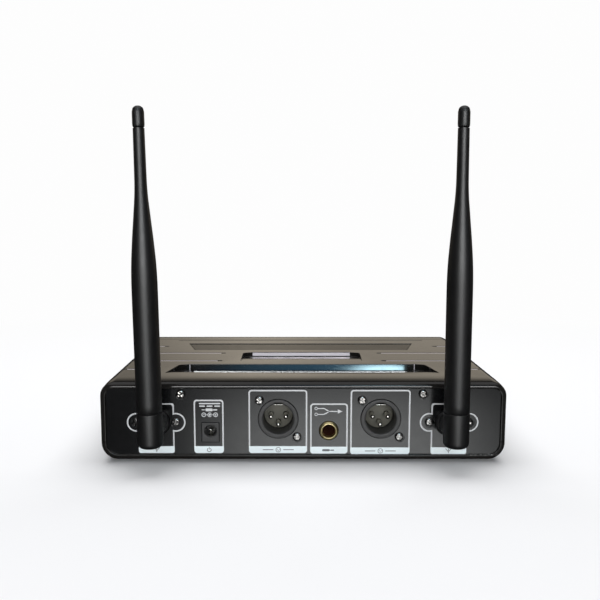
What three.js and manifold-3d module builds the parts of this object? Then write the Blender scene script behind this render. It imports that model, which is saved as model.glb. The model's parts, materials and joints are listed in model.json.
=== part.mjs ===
// Two-channel wireless microphone receiver: a half-rack plastic case with a connector panel on its
// rear side, a control panel on its front side and two swivelling whip antennas.
// Millimetres, +Z up. The connector side faces -Y, the control side faces +Y.
// Case coordinates have y = 0 at the rear rim of the case and z = 0 on the table.
import * as THREE from 'three';
import { mergeVertices } from 'three/addons/utils/BufferGeometryUtils.js';
import Module from 'manifold-3d';

const wasm = await Module();
wasm.setup();

// ---------------------------------------------------------------- driving dimensions
const GAP = 0.3;                 // free space kept between neighbouring pieces

const CASE_WIDTH = 214;          // half of a 19 inch rack
const CASE_DEPTH = 140;
const CASE_BOTTOM = 1.2;         // the feet lift the case off the table
const CASE_TOP = 43.4;
const CORNER_RADIUS = { top: 7.5, bottom: 9 };   // of the case's cross-section
const RIM_ROUNDING = 1.4;        // of the edges around the two ends
const WALL = 3;
const SEAM_Z = 10.4;             // joint line between the upper and the lower shell
const BEZEL_Y = 128;             // joint line between the shells and the front bezel

const PANEL_Y = 1;               // face of the rear panel, sunk behind the rim
const PANEL_THICKNESS = 2;
const BACK_Y = PANEL_Y + PANEL_THICKNESS + GAP;   // first free plane behind the rear panel
const LIP = 1.8;                 // ledge inside the shells that the rear panel rests on

const SCOOP = { tip: 21.6, wall: 44.8, depth: 3.8, flat: 66, corner: 71.5, end: 76 };
const POCKET = { tip: 54, wall: 80.6, depth: 2.7, flat: 31.4, corner: 36.7, end: 36.5 };
const TRAPEZOID = { rear: 88.5, front: 111.5, rearHalf: 68.6, frontHalf: 75.5, depth: 0.7 };
const RULE_LINE = { y: 123.5, half: 84.6, width: 0.8, depth: 0.6 };
const GROOVE = { width: 1.8, depth: 1.2, lowest: 30 };
const GROOVES = [
  { y: 31.5, inner: 88 },
  { y: 54.8, inner: 48 },
  { y: 78.1, inner: 48 },
  { y: 101.4, inner: 88 },
];

const XLR = { z: 23.4, xs: { a: 40.9, b: -13.2 }, ringR: 10.5, cavityR: 8.05, halfW: 12.3, halfH: 12.5 };
const XLR_SCREW = 9.9;           // screw offset from the connector's centre, along X and Z
const XLR_PINS = { 1: [-3.96, 0.3], 2: [3.96, 0.3], 3: [0, -3.9] };
const XLR_PIN_R = 1.2;
const JACK = { x: 13.5, z: 17, boreR: 3.2, bushingR: 5 };
const DC = { x: -49, z: 16.8, halfW: 4.5, bottom: 10.9, top: 21.3, holeR: 3.1, pinR: 0.95 };
const PANEL_SCREWS = { left: -64.4, right: 63 };
const PANEL_SCREW_Z = 36.7;
const SCREW = { headR: 2.35, shankR: 1.2, dimpleR: 2.9, dimple: 0.6 };

const ANTENNA = { xs: { a: 77, b: -77.6 }, y: -15, z: 21.5, lean: { a: -0.2, b: -0.75 } };
const BARREL = { r: 6.5, bottom: -8.4, top: 9.9 };      // heights from the swivel axis
const WHIP_TOP = 150;            // end of the whip, from the swivel axis
const TIP_TOP = 160.6;           // end of the cap, from the swivel axis
const HUB = { r: 7.2, boreR: 4.3, spigotR: 4, earX: 10.4, earR: 4.2 };

const BOARD = { bottom: 8.9, top: 10.5, half: 91, rear: 6, front: 118 };
const CASE_SCREW = { x: 96.5, ys: { rear: 18, front: 112 } };
const FOOT = { x: 82, ys: { rear: 20, front: 112 }, r: 7, height: 2 };

const FRONT_PANEL = { y: 135, thickness: 2.4, inset: 4.3 };
const FRONT_FACE = FRONT_PANEL.y + FRONT_PANEL.thickness;
const CONTROL_Z = 22.3;          // height of the row of controls
const WINDOW = { half: 46, halfH: 9 };
const KNOB = { xs: { a: 74, b: -74 }, r: 9, front: 151.55, bushingR: 4.5 };
const SET_BUTTON = { xs: { a: 55.5, b: -55.5 }, r: 3.2 };
const POWER_BUTTON = { x: -93, r: 4.4 };
const CONTROL_BOARD_Y = 122;

const MIDDLE_Y = (KNOB.front + ANTENNA.y - BARREL.r) / 2;   // puts the origin mid-way in depth

const ROUND = 20;                // sides of a large cylinder
const SMALL = 8;                 // sides of a screw or pin

// ---------------------------------------------------------------- finishes
function finish(color, roughness, metalness) {
  return new THREE.MeshStandardMaterial({ color, roughness, metalness, flatShading: true });
}

const GLOSS_BLACK = finish(0x24211e, 0.25, 0);
const SATIN_GREY = finish(0x3a3c3e, 0.45, 0.1);
const BLACK_PLASTIC = finish(0x1b1b1c, 0.5, 0);
const RUBBER = finish(0x141414, 0.8, 0);
const NICKEL = finish(0xb9b9b6, 0.3, 1);
const BRASS = finish(0xcdb36a, 0.3, 1);
const BOARD_GREEN = finish(0x1f5a36, 0.6, 0);
const TIN = finish(0xa9adb0, 0.35, 0.9);
const INSERT_GREY = finish(0x4a4a42, 0.6, 0);
const LENS = finish(0x101418, 0.1, 0);

// ---------------------------------------------------------------- solids
function solid(geometry) {
  const bare = geometry.clone();
  bare.deleteAttribute('normal');
  bare.deleteAttribute('uv');
  const merged = mergeVertices(bare, 1e-4);
  const index = merged.index.array;
  const triVerts = [];
  for (let i = 0; i < index.length; i += 3) {
    const [p, q, r] = [index[i], index[i + 1], index[i + 2]];
    if (p !== q && q !== r && r !== p) triVerts.push(p, q, r);
  }
  const vertProperties = new Float32Array(merged.attributes.position.array);
  const mesh = new wasm.Mesh({ numProp: 3, vertProperties, triVerts: new Uint32Array(triVerts) });
  return new wasm.Manifold(mesh);
}

function geometryOf(shape) {
  const { vertProperties, triVerts } = shape.getMesh();
  const geometry = new THREE.BufferGeometry();
  geometry.setAttribute('position', new THREE.BufferAttribute(vertProperties, 3));
  geometry.setIndex(new THREE.BufferAttribute(triVerts, 1));
  geometry.computeVertexNormals();
  return geometry;
}

function box(x0, x1, y0, y1, z0, z1) {
  const geometry = new THREE.BoxGeometry(x1 - x0, y1 - y0, z1 - z0);
  geometry.translate((x0 + x1) / 2, (y0 + y1) / 2, (z0 + z1) / 2);
  return solid(geometry);
}

// Round bar along Y, from y0 to y1, with its axis at (x, z).
function rodY(r, y0, y1, x = 0, z = 0, sides = ROUND) {
  const geometry = new THREE.CylinderGeometry(r, r, y1 - y0, sides);
  geometry.translate(x, (y0 + y1) / 2, z);
  return solid(geometry);
}

// Round bar along Z, from z0 to z1, with its axis at (x, y).
function rodZ(r, z0, z1, x = 0, y = 0, sides = ROUND) {
  const geometry = new THREE.CylinderGeometry(r, r, z1 - z0, sides);
  geometry.rotateX(Math.PI / 2);
  geometry.translate(x, y, (z0 + z1) / 2);
  return solid(geometry);
}

// Solid of revolution about Z. The profile lists [radius, height] from the axis back to the axis.
function turned(profile, sides) {
  const points = profile.map(([r, h]) => new THREE.Vector2(r, h));
  const geometry = new THREE.LatheGeometry(points, sides);
  geometry.rotateX(Math.PI / 2);
  return solid(geometry);
}

// Solid of revolution about Y. The profile lists [radius, y] from the axis back to the axis.
function turnedY(profile, sides) {
  const points = profile.map(([r, h]) => new THREE.Vector2(r, h));
  return solid(new THREE.LatheGeometry(points, sides));
}

// Prism of an outline in the XZ plane, from y0 to y1, with rounded ends where asked for.
function prismY(shape, y0, y1, rounding = 0) {
  const geometry = new THREE.ExtrudeGeometry(shape, {
    depth: y1 - y0 - 2 * rounding,
    curveSegments: 3,
    bevelEnabled: rounding > 0,
    bevelThickness: rounding,
    bevelSize: rounding,
    bevelOffset: -rounding,
    bevelSegments: 2,
  });
  const toXZ = new THREE.Matrix4().makeBasis(
    new THREE.Vector3(1, 0, 0),
    new THREE.Vector3(0, 0, 1),
    new THREE.Vector3(0, -1, 0),
  );
  geometry.applyMatrix4(toXZ);
  geometry.translate(0, y1 - rounding, 0);
  return solid(geometry);
}

// Prism of an outline in the XY plane, from z0 to z1.
function prismZ(points, z0, z1) {
  const shape = new THREE.Shape(points.map(([x, y]) => new THREE.Vector2(x, y)));
  const geometry = new THREE.ExtrudeGeometry(shape, { depth: z1 - z0, bevelEnabled: false });
  geometry.translate(0, 0, z0);
  return solid(geometry);
}

// Prism of an outline in the YZ plane, from x0 to x1.
function prismX(points, x0, x1) {
  const shape = new THREE.Shape(points.map(([y, z]) => new THREE.Vector2(y, z)));
  const geometry = new THREE.ExtrudeGeometry(shape, { depth: x1 - x0, bevelEnabled: false });
  const toYZ = new THREE.Matrix4().makeBasis(
    new THREE.Vector3(0, 1, 0),
    new THREE.Vector3(0, 0, 1),
    new THREE.Vector3(1, 0, 0),
  );
  geometry.applyMatrix4(toYZ);
  geometry.translate(x0, 0, 0);
  return solid(geometry);
}

function joined(shapes) {
  return shapes.reduce((whole, piece) => whole.add(piece));
}

// Rounded rectangle in the XZ plane.
function roundedOutline(x0, x1, z0, z1, top, bottom) {
  const shape = new THREE.Shape();
  shape.absarc(x1 - bottom, z0 + bottom, bottom, -Math.PI / 2, 0);
  shape.absarc(x1 - top, z1 - top, top, 0, Math.PI / 2);
  shape.absarc(x0 + top, z1 - top, top, Math.PI / 2, Math.PI);
  shape.absarc(x0 + bottom, z0 + bottom, bottom, Math.PI, Math.PI * 1.5);
  return shape;
}

// Cross-section of the case, drawn inward from its outer surface by inset.
function caseSection(inset) {
  const half = CASE_WIDTH / 2 - inset;
  const { top, bottom } = CORNER_RADIUS;
  return roundedOutline(-half, half, CASE_BOTTOM + inset, CASE_TOP - inset, top - inset, bottom - inset);
}

function caseBlock() {
  return prismY(caseSection(0), 0, CASE_DEPTH, RIM_ROUNDING);
}

// ---------------------------------------------------------------- case shells
// Sunk area of the top with a sloping floor: flush at its rear end, deepest at its upright wall.
function slopedRecess({ tip, wall, depth, flat, corner, end }) {
  const outline = [
    [-end, tip],
    [end, tip],
    [corner, wall - 1.8],
    [flat, wall],
    [-flat, wall],
    [-corner, wall - 1.8],
  ];
  const side = [
    [tip, CASE_TOP],
    [wall + 1, CASE_TOP - depth * (wall + 1 - tip) / (wall - tip)],
    [wall + 1, CASE_TOP + 2],
    [tip, CASE_TOP + 2],
  ];
  const column = prismZ(outline, CASE_TOP - depth - 2, CASE_TOP + 2);
  return column.intersect(prismX(side, -CASE_WIDTH / 2, CASE_WIDTH / 2));
}

// Local thickening under a sloped recess, so that the wall is nowhere thin.
function recessPad({ tip, wall, depth, end }) {
  return box(-end - 2.5, end + 2.5, tip + 3, wall + 2.6, CASE_TOP - depth - 2.4, CASE_TOP - 1.5);
}

// Slot that runs over the top from |x| = inner, around the corner and down the side.
function grooveCut({ y, inner }) {
  const [y0, y1] = [y - GROOVE.width / 2, y + GROOVE.width / 2];
  const band = prismY(caseSection(-1), y0, y1).subtract(prismY(caseSection(GROOVE.depth), y0 - 1, y1 + 1));
  const right = box(inner, CASE_WIDTH, y0 - 1, y1 + 1, GROOVE.lowest, CASE_TOP + 5);
  const left = box(-CASE_WIDTH, -inner, y0 - 1, y1 + 1, GROOVE.lowest, CASE_TOP + 5);
  return band.intersect(right.add(left));
}

function trapezoidCut() {
  const { rear, front, rearHalf, frontHalf, depth } = TRAPEZOID;
  const outline = [[-rearHalf, rear], [rearHalf, rear], [frontHalf, front], [-frontHalf, front]];
  return prismZ(outline, CASE_TOP - depth, CASE_TOP + 2);
}

function shellHollow() {
  return prismY(caseSection(WALL), -1, BEZEL_Y + 1);
}

// Ledge all around the inside, just behind the rear panel.
function panelLedge() {
  const outer = prismY(caseSection(WALL - 0.5), BACK_Y, BACK_Y + 2);
  return outer.subtract(prismY(caseSection(WALL + LIP), BACK_Y - 1, BACK_Y + 3));
}

function casePosts(z0, z1, r, sides) {
  const posts = [];
  for (const x of [-CASE_SCREW.x, CASE_SCREW.x]) {
    for (const y of Object.values(CASE_SCREW.ys)) posts.push(rodZ(r, z0, z1, x, y, sides));
  }
  return joined(posts);
}

function upperShell() {
  const bosses = Object.values(PANEL_SCREWS).map((x) => (
    box(x - 3.6, x + 3.6, BACK_Y, 13, PANEL_SCREW_Z - 3.6, CASE_TOP - 1.5)
  ));
  const bossHoles = Object.values(PANEL_SCREWS).map((x) => (
    rodY(SCREW.shankR + GAP, 0, 12, x, PANEL_SCREW_Z, SMALL)
  ));
  const zone = box(-CASE_WIDTH, CASE_WIDTH, -5, BEZEL_Y - GAP / 2, SEAM_Z + GAP / 2, CASE_TOP + 5);
  const { y, half, width, depth } = RULE_LINE;
  return caseBlock()
    .subtract(shellHollow())
    .add(panelLedge())
    .intersect(zone)
    .add(recessPad(SCOOP))
    .add(recessPad(POCKET))
    .add(joined(bosses))
    .add(casePosts(12, CASE_TOP - 1.9, 3.6, SMALL))
    .subtract(joined(bossHoles))
    .subtract(casePosts(11, 21, SCREW.shankR + GAP, SMALL))
    .subtract(slopedRecess(SCOOP))
    .subtract(slopedRecess(POCKET))
    .subtract(trapezoidCut())
    .subtract(joined(GROOVES.map(grooveCut)))
    .subtract(box(-half, half, y - width / 2, y + width / 2, CASE_TOP - depth, CASE_TOP + 2));
}

function lowerShell() {
  const floor = CASE_BOTTOM + WALL;
  const standoffs = [];
  const footSeats = [];
  for (const side of [-1, 1]) {
    for (const y of [14, 110]) standoffs.push(rodZ(3.5, floor - 1, BOARD.bottom - GAP, side * 62, y, SMALL));
    for (const y of Object.values(FOOT.ys)) {
      footSeats.push(rodZ(FOOT.r + GAP, 0, FOOT.height + GAP, side * FOOT.x, y, ROUND));
    }
  }
  const vents = [];
  for (const x of [-30, -18, -6, 6, 18, 30]) vents.push(box(x - 1.2, x + 1.2, 50, 84, 0, floor + 1));
  const zone = box(-CASE_WIDTH, CASE_WIDTH, -5, BEZEL_Y - GAP / 2, -5, SEAM_Z - GAP / 2);
  return caseBlock()
    .subtract(shellHollow())
    .add(panelLedge())
    .intersect(zone)
    .add(joined(standoffs))
    .add(casePosts(floor - 1, 11.7, 3.6, SMALL))
    .subtract(casePosts(0, 13, SCREW.shankR + GAP, SMALL))
    .subtract(casePosts(0, 2.8, SCREW.headR + 2 * GAP, SMALL))
    .subtract(joined(footSeats))
    .subtract(joined(vents));
}

function frontBezel() {
  const zone = box(-CASE_WIDTH, CASE_WIDTH, BEZEL_Y + GAP / 2, CASE_DEPTH + 5, -5, CASE_TOP + 5);
  return caseBlock()
    .intersect(zone)
    .subtract(prismY(caseSection(FRONT_PANEL.inset + 2), BEZEL_Y - 1, CASE_DEPTH + 1))
    .subtract(prismY(caseSection(FRONT_PANEL.inset - GAP), FRONT_PANEL.y - GAP, CASE_DEPTH + 1));
}

// ---------------------------------------------------------------- panels and boards
function rearPanel() {
  const cuts = [];
  const screwPlaces = Object.values(PANEL_SCREWS).map((x) => [x, PANEL_SCREW_Z]);
  for (const x of Object.values(XLR.xs)) {
    cuts.push(rodY(XLR.ringR + GAP, 0, 5, x, XLR.z));
    screwPlaces.push([x - XLR_SCREW, XLR.z + XLR_SCREW], [x + XLR_SCREW, XLR.z - XLR_SCREW]);
  }
  for (const x of Object.values(ANTENNA.xs)) {
    cuts.push(rodY(HUB.r + GAP, 0, 5, x, ANTENNA.z));
    screwPlaces.push([x - HUB.earX, ANTENNA.z], [x + HUB.earX, ANTENNA.z]);
  }
  for (const [x, z] of screwPlaces) {
    cuts.push(rodY(SCREW.shankR + GAP, 0, 5, x, z, SMALL));
    cuts.push(rodY(SCREW.dimpleR, 0, PANEL_Y + SCREW.dimple, x, z, SMALL));
  }
  cuts.push(rodY(JACK.bushingR + GAP, 0, 5, JACK.x, JACK.z));
  cuts.push(box(DC.x - DC.halfW - GAP, DC.x + DC.halfW + GAP, 0, 5, DC.bottom - GAP, DC.top + GAP));
  return prismY(caseSection(WALL + 0.2), PANEL_Y, PANEL_Y + PANEL_THICKNESS).subtract(joined(cuts));
}

function frontPanel() {
  const { y, inset } = FRONT_PANEL;
  const cuts = [
    box(-WINDOW.half, WINDOW.half, y - 1, FRONT_FACE + 1, CONTROL_Z - WINDOW.halfH, CONTROL_Z + WINDOW.halfH),
    rodY(POWER_BUTTON.r + GAP, y - 1, FRONT_FACE + 1, POWER_BUTTON.x, CONTROL_Z),
  ];
  for (const x of Object.values(KNOB.xs)) {
    cuts.push(rodY(KNOB.bushingR + GAP, y - 1, FRONT_FACE + 1, x, CONTROL_Z));
  }
  for (const x of Object.values(SET_BUTTON.xs)) {
    cuts.push(rodY(SET_BUTTON.r + GAP, y - 1, FRONT_FACE + 1, x, CONTROL_Z));
  }
  return prismY(caseSection(inset), y, FRONT_FACE).subtract(joined(cuts));
}

// Main board with its soldered parts: two processors, a regulator block and two capacitors.
function mainBoard() {
  const { bottom, top, half, rear, front } = BOARD;
  return joined([
    box(-half, half, rear, front, bottom, top),
    box(-9, 9, 44, 62, top - 0.5, top + 1.6),
    box(-32, -18, 70, 84, top - 0.5, top + 1.4),
    box(14, 34, 74, 86, top - 0.5, top + 7),
    rodZ(5, top - 0.5, top + 12, -49, 34, SMALL),
    rodZ(4, top - 0.5, top + 10, -34, 32, SMALL),
    box(-20, 20, 108, 114, top - 0.5, top + 6),
  ]);
}

// Upright board behind the front panel, with a push switch behind each button.
function controlBoard() {
  const front = CONTROL_BOARD_Y + 1.6;
  const switches = [POWER_BUTTON.x, ...Object.values(SET_BUTTON.xs)].map((x) => (
    box(x - 3, x + 3, front - 0.5, 131.1, CONTROL_Z - 3, CONTROL_Z + 3)
  ));
  return joined([box(-98, 98, CONTROL_BOARD_Y, front, 12.5, 36.5), ...switches]);
}

function radioShield() {
  return box(-22, 22, -17, 17, 0, 8).subtract(box(-21.4, 21.4, -16.4, 16.4, -1, 7.4));
}

// ---------------------------------------------------------------- connectors
function xlrShell() {
  const { ringR, cavityR, halfW, halfH } = XLR;
  const notch = box(-2.6, 2.6, -1, 7, cavityR - 1.2, cavityR + 0.9);
  return rodY(ringR, 0.2, BACK_Y + 1)
    .add(box(-halfW, halfW, BACK_Y, 22, -halfH, halfH))
    .subtract(rodY(cavityR, -1, 13.5))
    .subtract(notch)
    .subtract(rodY(SCREW.shankR + GAP, 0, 13, -XLR_SCREW, XLR_SCREW, SMALL))
    .subtract(rodY(SCREW.shankR + GAP, 0, 13, XLR_SCREW, -XLR_SCREW, SMALL));
}

function xlrInsert() {
  const holes = Object.values(XLR_PINS).map(([x, z]) => rodY(XLR_PIN_R + GAP, 0, 20, x, z, SMALL));
  return rodY(XLR.cavityR - GAP, 10.6, 13.2).subtract(joined(holes));
}

function xlrPin() {
  return turnedY([[0, 2.6], [0.7, 2.7], [XLR_PIN_R, 3.4], [XLR_PIN_R, 13.2], [0, 13.2]], SMALL);
}

function jackBody() {
  return box(-6, 6, BACK_Y, 25, -6.1, 6.1).subtract(rodY(JACK.boreR, 0, 24));
}

function jackBushing() {
  const { bushingR, boreR } = JACK;
  return turnedY([[boreR, 3], [boreR, 0], [boreR + 0.5, -0.5], [bushingR - 0.7, -0.5], [bushingR, 0.2],
    [bushingR, 3], [boreR, 3]], ROUND);
}

function powerJackBody() {
  const { halfW, bottom, top, z, holeR } = DC;
  return box(-halfW, halfW, 0.6, 14.3, bottom - z, top - z).subtract(rodY(holeR, 0, 10));
}

function powerJackPin() {
  return turnedY([[0, 1.9], [0.6, 2], [DC.pinR, 2.6], [DC.pinR, 9.7], [0, 9.7]], SMALL);
}

// ---------------------------------------------------------------- fasteners and feet
// Pan-head screw along +Y. Its head rests in a dimple of the rear panel.
function panelScrew() {
  const { headR, shankR, dimple } = SCREW;
  const seat = PANEL_Y + dimple - GAP;
  return turnedY([[0, seat - 1], [1.5, seat - 0.9], [headR, seat - 0.3], [headR, seat], [shankR, seat],
    [shankR, 10.4], [0, 11.2]], SMALL);
}

// The same screw along +Z, for the underside.
function caseScrew() {
  const { headR, shankR } = SCREW;
  return turned([[0, 1.3], [1.6, 1.4], [headR, 1.9], [headR, 2.5], [shankR, 2.5], [shankR, 19], [0, 20]], SMALL);
}

function foot() {
  const { r, height } = FOOT;
  return turned([[0, 0], [r - 0.9, 0], [r, 0.8], [r, height], [0, height]], 16);
}

// ---------------------------------------------------------------- antennas
// Two-eared mount behind the rear panel. Its tube passes through the panel and carries the swivel.
function antennaMount() {
  const { r, boreR, earX, earR } = HUB;
  const plate = joined([
    rodY(8.5, BACK_Y, 5.3),
    rodY(earR, BACK_Y, 5.3, -earX, 0, SMALL),
    rodY(earR, BACK_Y, 5.3, earX, 0, SMALL),
    box(-earX, earX, BACK_Y, 5.3, -earR, earR),
  ]);
  return plate
    .add(rodY(r, -1.5, BACK_Y + 1))
    .add(rodY(r - 1, BACK_Y, 9))
    .subtract(rodY(boreR, -3, 12))
    .subtract(rodY(SCREW.shankR + GAP, 0, 12, -earX, 0, SMALL))
    .subtract(rodY(SCREW.shankR + GAP, 0, 12, earX, 0, SMALL));
}

// Upright barrel with a neck and a swivel spigot towards the case. The socket takes the whip's stub.
function antennaKnuckle() {
  const { r, bottom, top } = BARREL;
  const barrel = turned([[0, bottom], [3.9, bottom + 0.2], [5.7, bottom + 0.9], [r, bottom + 2.3], [r, top],
    [0, top]], 20);
  const hubFace = -1.5 - GAP - ANTENNA.y;
  return barrel
    .add(rodY(6, 0, hubFace))
    .add(rodY(HUB.spigotR, 0, 8.6 - ANTENNA.y))
    .subtract(rodZ(3.3, top - 8, top + 1, 0, 0, SMALL));
}

// Moulded sheath that narrows in an S-shaped curve, with a stub at either end.
function antennaWhip() {
  const base = BARREL.top + GAP;
  return turned([[0, base - 7.7], [3, base - 7.7], [3, base], [6.35, base], [6.4, 70], [6.05, 86], [5.1, 98.5],
    [4, 110.5], [3.1, 121.5], [2.8, WHIP_TOP], [1.3, WHIP_TOP], [1.3, WHIP_TOP + 4], [0, WHIP_TOP + 4]], 14);
}

function antennaTip() {
  const base = WHIP_TOP + GAP;
  return turned([[1.6, base], [2.4, base], [2.9, base + 1], [2.95, TIP_TOP - 2.6], [2.4, TIP_TOP - 1],
    [1.2, TIP_TOP - 0.15], [0, TIP_TOP], [0, base + 4.2], [1.6, base + 4.2], [1.6, base]], 12);
}

// Coaxial lead inside the case, from the antenna mount to the radio shield.
function antennaLead(startX, endX) {
  const route = new THREE.CatmullRomCurve3([
    new THREE.Vector3(startX, 10, ANTENNA.z),
    new THREE.Vector3(startX, 18, ANTENNA.z - 0.5),
    new THREE.Vector3((startX + endX) / 2, 38, 17.5),
    new THREE.Vector3(endX, 52, 14.5),
    new THREE.Vector3(endX, 59.5, 14.3),
  ]);
  const section = new THREE.Shape();
  section.absarc(0, 0, 0.9, 0, Math.PI * 2);
  const geometry = new THREE.ExtrudeGeometry(section, {
    steps: 12,
    curveSegments: 4,
    bevelEnabled: false,
    extrudePath: route,
  });
  return solid(geometry);
}

// ---------------------------------------------------------------- controls
function volumeControl() {
  return box(-8, 8, CONTROL_BOARD_Y + 1.9, 131.5, -8, 8)
    .add(rodY(KNOB.bushingR, 131, 140.5))
    .subtract(rodY(3.3, 125.5, 142));
}

// Knob with the spindle that it turns.
function volumeKnob() {
  return turnedY([[0, 126], [3, 126], [3, 141], [5.2, 141], [5.2, 138.2], [KNOB.r, 138.2], [KNOB.r - 0.5, 150],
    [KNOB.r - 1.5, KNOB.front], [0, KNOB.front]], ROUND);
}

// Push button held behind the panel by its collar.
function pushButton(r, front) {
  return turnedY([[0, 132.2], [r + 1, 132.2], [r + 1, FRONT_PANEL.y - GAP], [r, FRONT_PANEL.y - GAP],
    [r, front - 0.5], [r - 0.5, front], [0, front]], 16);
}

// ---------------------------------------------------------------- assembly
const model = new THREE.Group();
model.position.y = -MIDDLE_Y;

function addPart(name, shape, look, parent = model, x = 0, y = 0, z = 0) {
  const mesh = new THREE.Mesh(geometryOf(shape), look.clone());
  mesh.name = name;
  mesh.position.set(x, y, z);
  parent.add(mesh);
}

function addCase() {
  addPart('upper_shell', upperShell(), GLOSS_BLACK);
  addPart('lower_shell', lowerShell(), GLOSS_BLACK);
  addPart('front_bezel', frontBezel(), GLOSS_BLACK);
  addPart('rear_panel', rearPanel(), SATIN_GREY);
  addPart('front_panel', frontPanel(), SATIN_GREY);
  for (const [side, sign] of [['a', 1], ['b', -1]]) {
    for (const [end, y] of Object.entries(FOOT.ys)) {
      addPart(`foot_${end}_${side}`, foot(), RUBBER, model, sign * FOOT.x, y, 0);
    }
    for (const [end, y] of Object.entries(CASE_SCREW.ys)) {
      addPart(`case_screw_${end}_${side}`, caseScrew(), NICKEL, model, sign * CASE_SCREW.x, y, 0);
    }
  }
}

function addElectronics() {
  addPart('main_board', mainBoard(), BOARD_GREEN);
  addPart('control_board', controlBoard(), BOARD_GREEN);
  for (const [side, sign] of [['a', 1], ['b', -1]]) {
    addPart(`radio_shield_${side}`, radioShield(), TIN, model, sign * 60, 77, BOARD.top + GAP);
    addPart(`antenna_lead_${side}`, antennaLead(ANTENNA.xs[side], sign * 64), BLACK_PLASTIC);
  }
}

function addConnectors() {
  for (const [side, x] of Object.entries(XLR.xs)) {
    addPart(`xlr_shell_${side}`, xlrShell(), BLACK_PLASTIC, model, x, 0, XLR.z);
    addPart(`xlr_insert_${side}`, xlrInsert(), INSERT_GREY, model, x, 0, XLR.z);
    for (const [number, [px, pz]] of Object.entries(XLR_PINS)) {
      addPart(`xlr_pin_${side}${number}`, xlrPin(), NICKEL, model, x + px, 0, XLR.z + pz);
    }
    addPart(`xlr_screw_${side}_upper`, panelScrew(), NICKEL, model, x - XLR_SCREW, 0, XLR.z + XLR_SCREW);
    addPart(`xlr_screw_${side}_lower`, panelScrew(), NICKEL, model, x + XLR_SCREW, 0, XLR.z - XLR_SCREW);
  }
  addPart('jack_body', jackBody(), BLACK_PLASTIC, model, JACK.x, 0, JACK.z);
  addPart('jack_bushing', jackBushing(), BRASS, model, JACK.x, 0, JACK.z);
  addPart('power_jack_body', powerJackBody(), BLACK_PLASTIC, model, DC.x, 0, DC.z);
  addPart('power_jack_pin', powerJackPin(), NICKEL, model, DC.x, 0, DC.z);
  for (const [side, x] of Object.entries(PANEL_SCREWS)) {
    addPart(`panel_screw_${side}`, panelScrew(), NICKEL, model, x, 0, PANEL_SCREW_Z);
  }
}

function addAntennas() {
  for (const [side, x] of Object.entries(ANTENNA.xs)) {
    addPart(`antenna_mount_${side}`, antennaMount(), BLACK_PLASTIC, model, x, 0, ANTENNA.z);
    addPart(`mount_screw_${side}_left`, panelScrew(), NICKEL, model, x - HUB.earX, 0, ANTENNA.z);
    addPart(`mount_screw_${side}_right`, panelScrew(), NICKEL, model, x + HUB.earX, 0, ANTENNA.z);
    const swivel = new THREE.Group();
    swivel.position.set(x, ANTENNA.y, ANTENNA.z);
    swivel.rotation.y = THREE.MathUtils.degToRad(ANTENNA.lean[side]);
    model.add(swivel);
    addPart(`antenna_knuckle_${side}`, antennaKnuckle(), BLACK_PLASTIC, swivel);
    addPart(`antenna_whip_${side}`, antennaWhip(), RUBBER, swivel);
    addPart(`antenna_tip_${side}`, antennaTip(), RUBBER, swivel);
  }
}

function addControls() {
  const { half, halfH } = WINDOW;
  const lens = box(-half + GAP, half - GAP, 135.8, 137.7, -halfH + GAP, halfH - GAP);
  addPart('display_lens', lens, LENS, model, 0, 0, CONTROL_Z);
  addPart('display_module', box(-44, 44, 125, 134.6, -8, 8), LENS, model, 0, 0, CONTROL_Z);
  for (const [side, x] of Object.entries(KNOB.xs)) {
    addPart(`volume_control_${side}`, volumeControl(), TIN, model, x, 0, CONTROL_Z);
    addPart(`volume_knob_${side}`, volumeKnob(), BLACK_PLASTIC, model, x, 0, CONTROL_Z);
  }
  for (const [side, x] of Object.entries(SET_BUTTON.xs)) {
    addPart(`set_button_${side}`, pushButton(SET_BUTTON.r, 139), BLACK_PLASTIC, model, x, 0, CONTROL_Z);
  }
  const powerButton = pushButton(POWER_BUTTON.r, 139.6);
  addPart('power_button', powerButton, BLACK_PLASTIC, model, POWER_BUTTON.x, 0, CONTROL_Z);
}

addCase();
addElectronics();
addConnectors();
addAntennas();
addControls();

export default model;
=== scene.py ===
"""Two-channel wireless microphone receiver, half-rack size, seen from its connector side.

Shapes are drawn in millimetres of case space (x to the right, y from the rear rim towards the controls,
z up from the table) and moved into the frame's metres by make_piece().
"""
import json
import math
import random

import bmesh
import bpy
from mathutils import Matrix, Vector

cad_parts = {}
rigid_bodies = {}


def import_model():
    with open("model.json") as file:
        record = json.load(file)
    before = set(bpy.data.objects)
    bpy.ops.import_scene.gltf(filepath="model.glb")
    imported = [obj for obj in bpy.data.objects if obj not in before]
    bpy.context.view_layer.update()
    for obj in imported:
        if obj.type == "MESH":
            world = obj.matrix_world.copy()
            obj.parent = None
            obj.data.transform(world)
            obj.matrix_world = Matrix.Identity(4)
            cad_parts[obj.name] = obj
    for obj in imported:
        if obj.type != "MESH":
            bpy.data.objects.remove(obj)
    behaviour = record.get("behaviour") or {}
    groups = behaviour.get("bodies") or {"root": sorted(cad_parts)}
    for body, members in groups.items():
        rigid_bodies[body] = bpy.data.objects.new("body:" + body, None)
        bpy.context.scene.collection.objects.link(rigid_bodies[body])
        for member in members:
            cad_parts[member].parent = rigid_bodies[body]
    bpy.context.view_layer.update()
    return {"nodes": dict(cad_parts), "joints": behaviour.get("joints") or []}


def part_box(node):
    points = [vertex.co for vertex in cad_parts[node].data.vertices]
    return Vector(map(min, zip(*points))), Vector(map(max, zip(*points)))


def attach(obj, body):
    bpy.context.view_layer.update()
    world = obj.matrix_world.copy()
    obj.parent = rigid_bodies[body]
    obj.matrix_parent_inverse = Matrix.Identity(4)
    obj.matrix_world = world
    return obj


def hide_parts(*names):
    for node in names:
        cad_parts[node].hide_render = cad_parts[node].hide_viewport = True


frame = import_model()
CASE = "case"
SIDES = ("a", "b")

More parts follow.
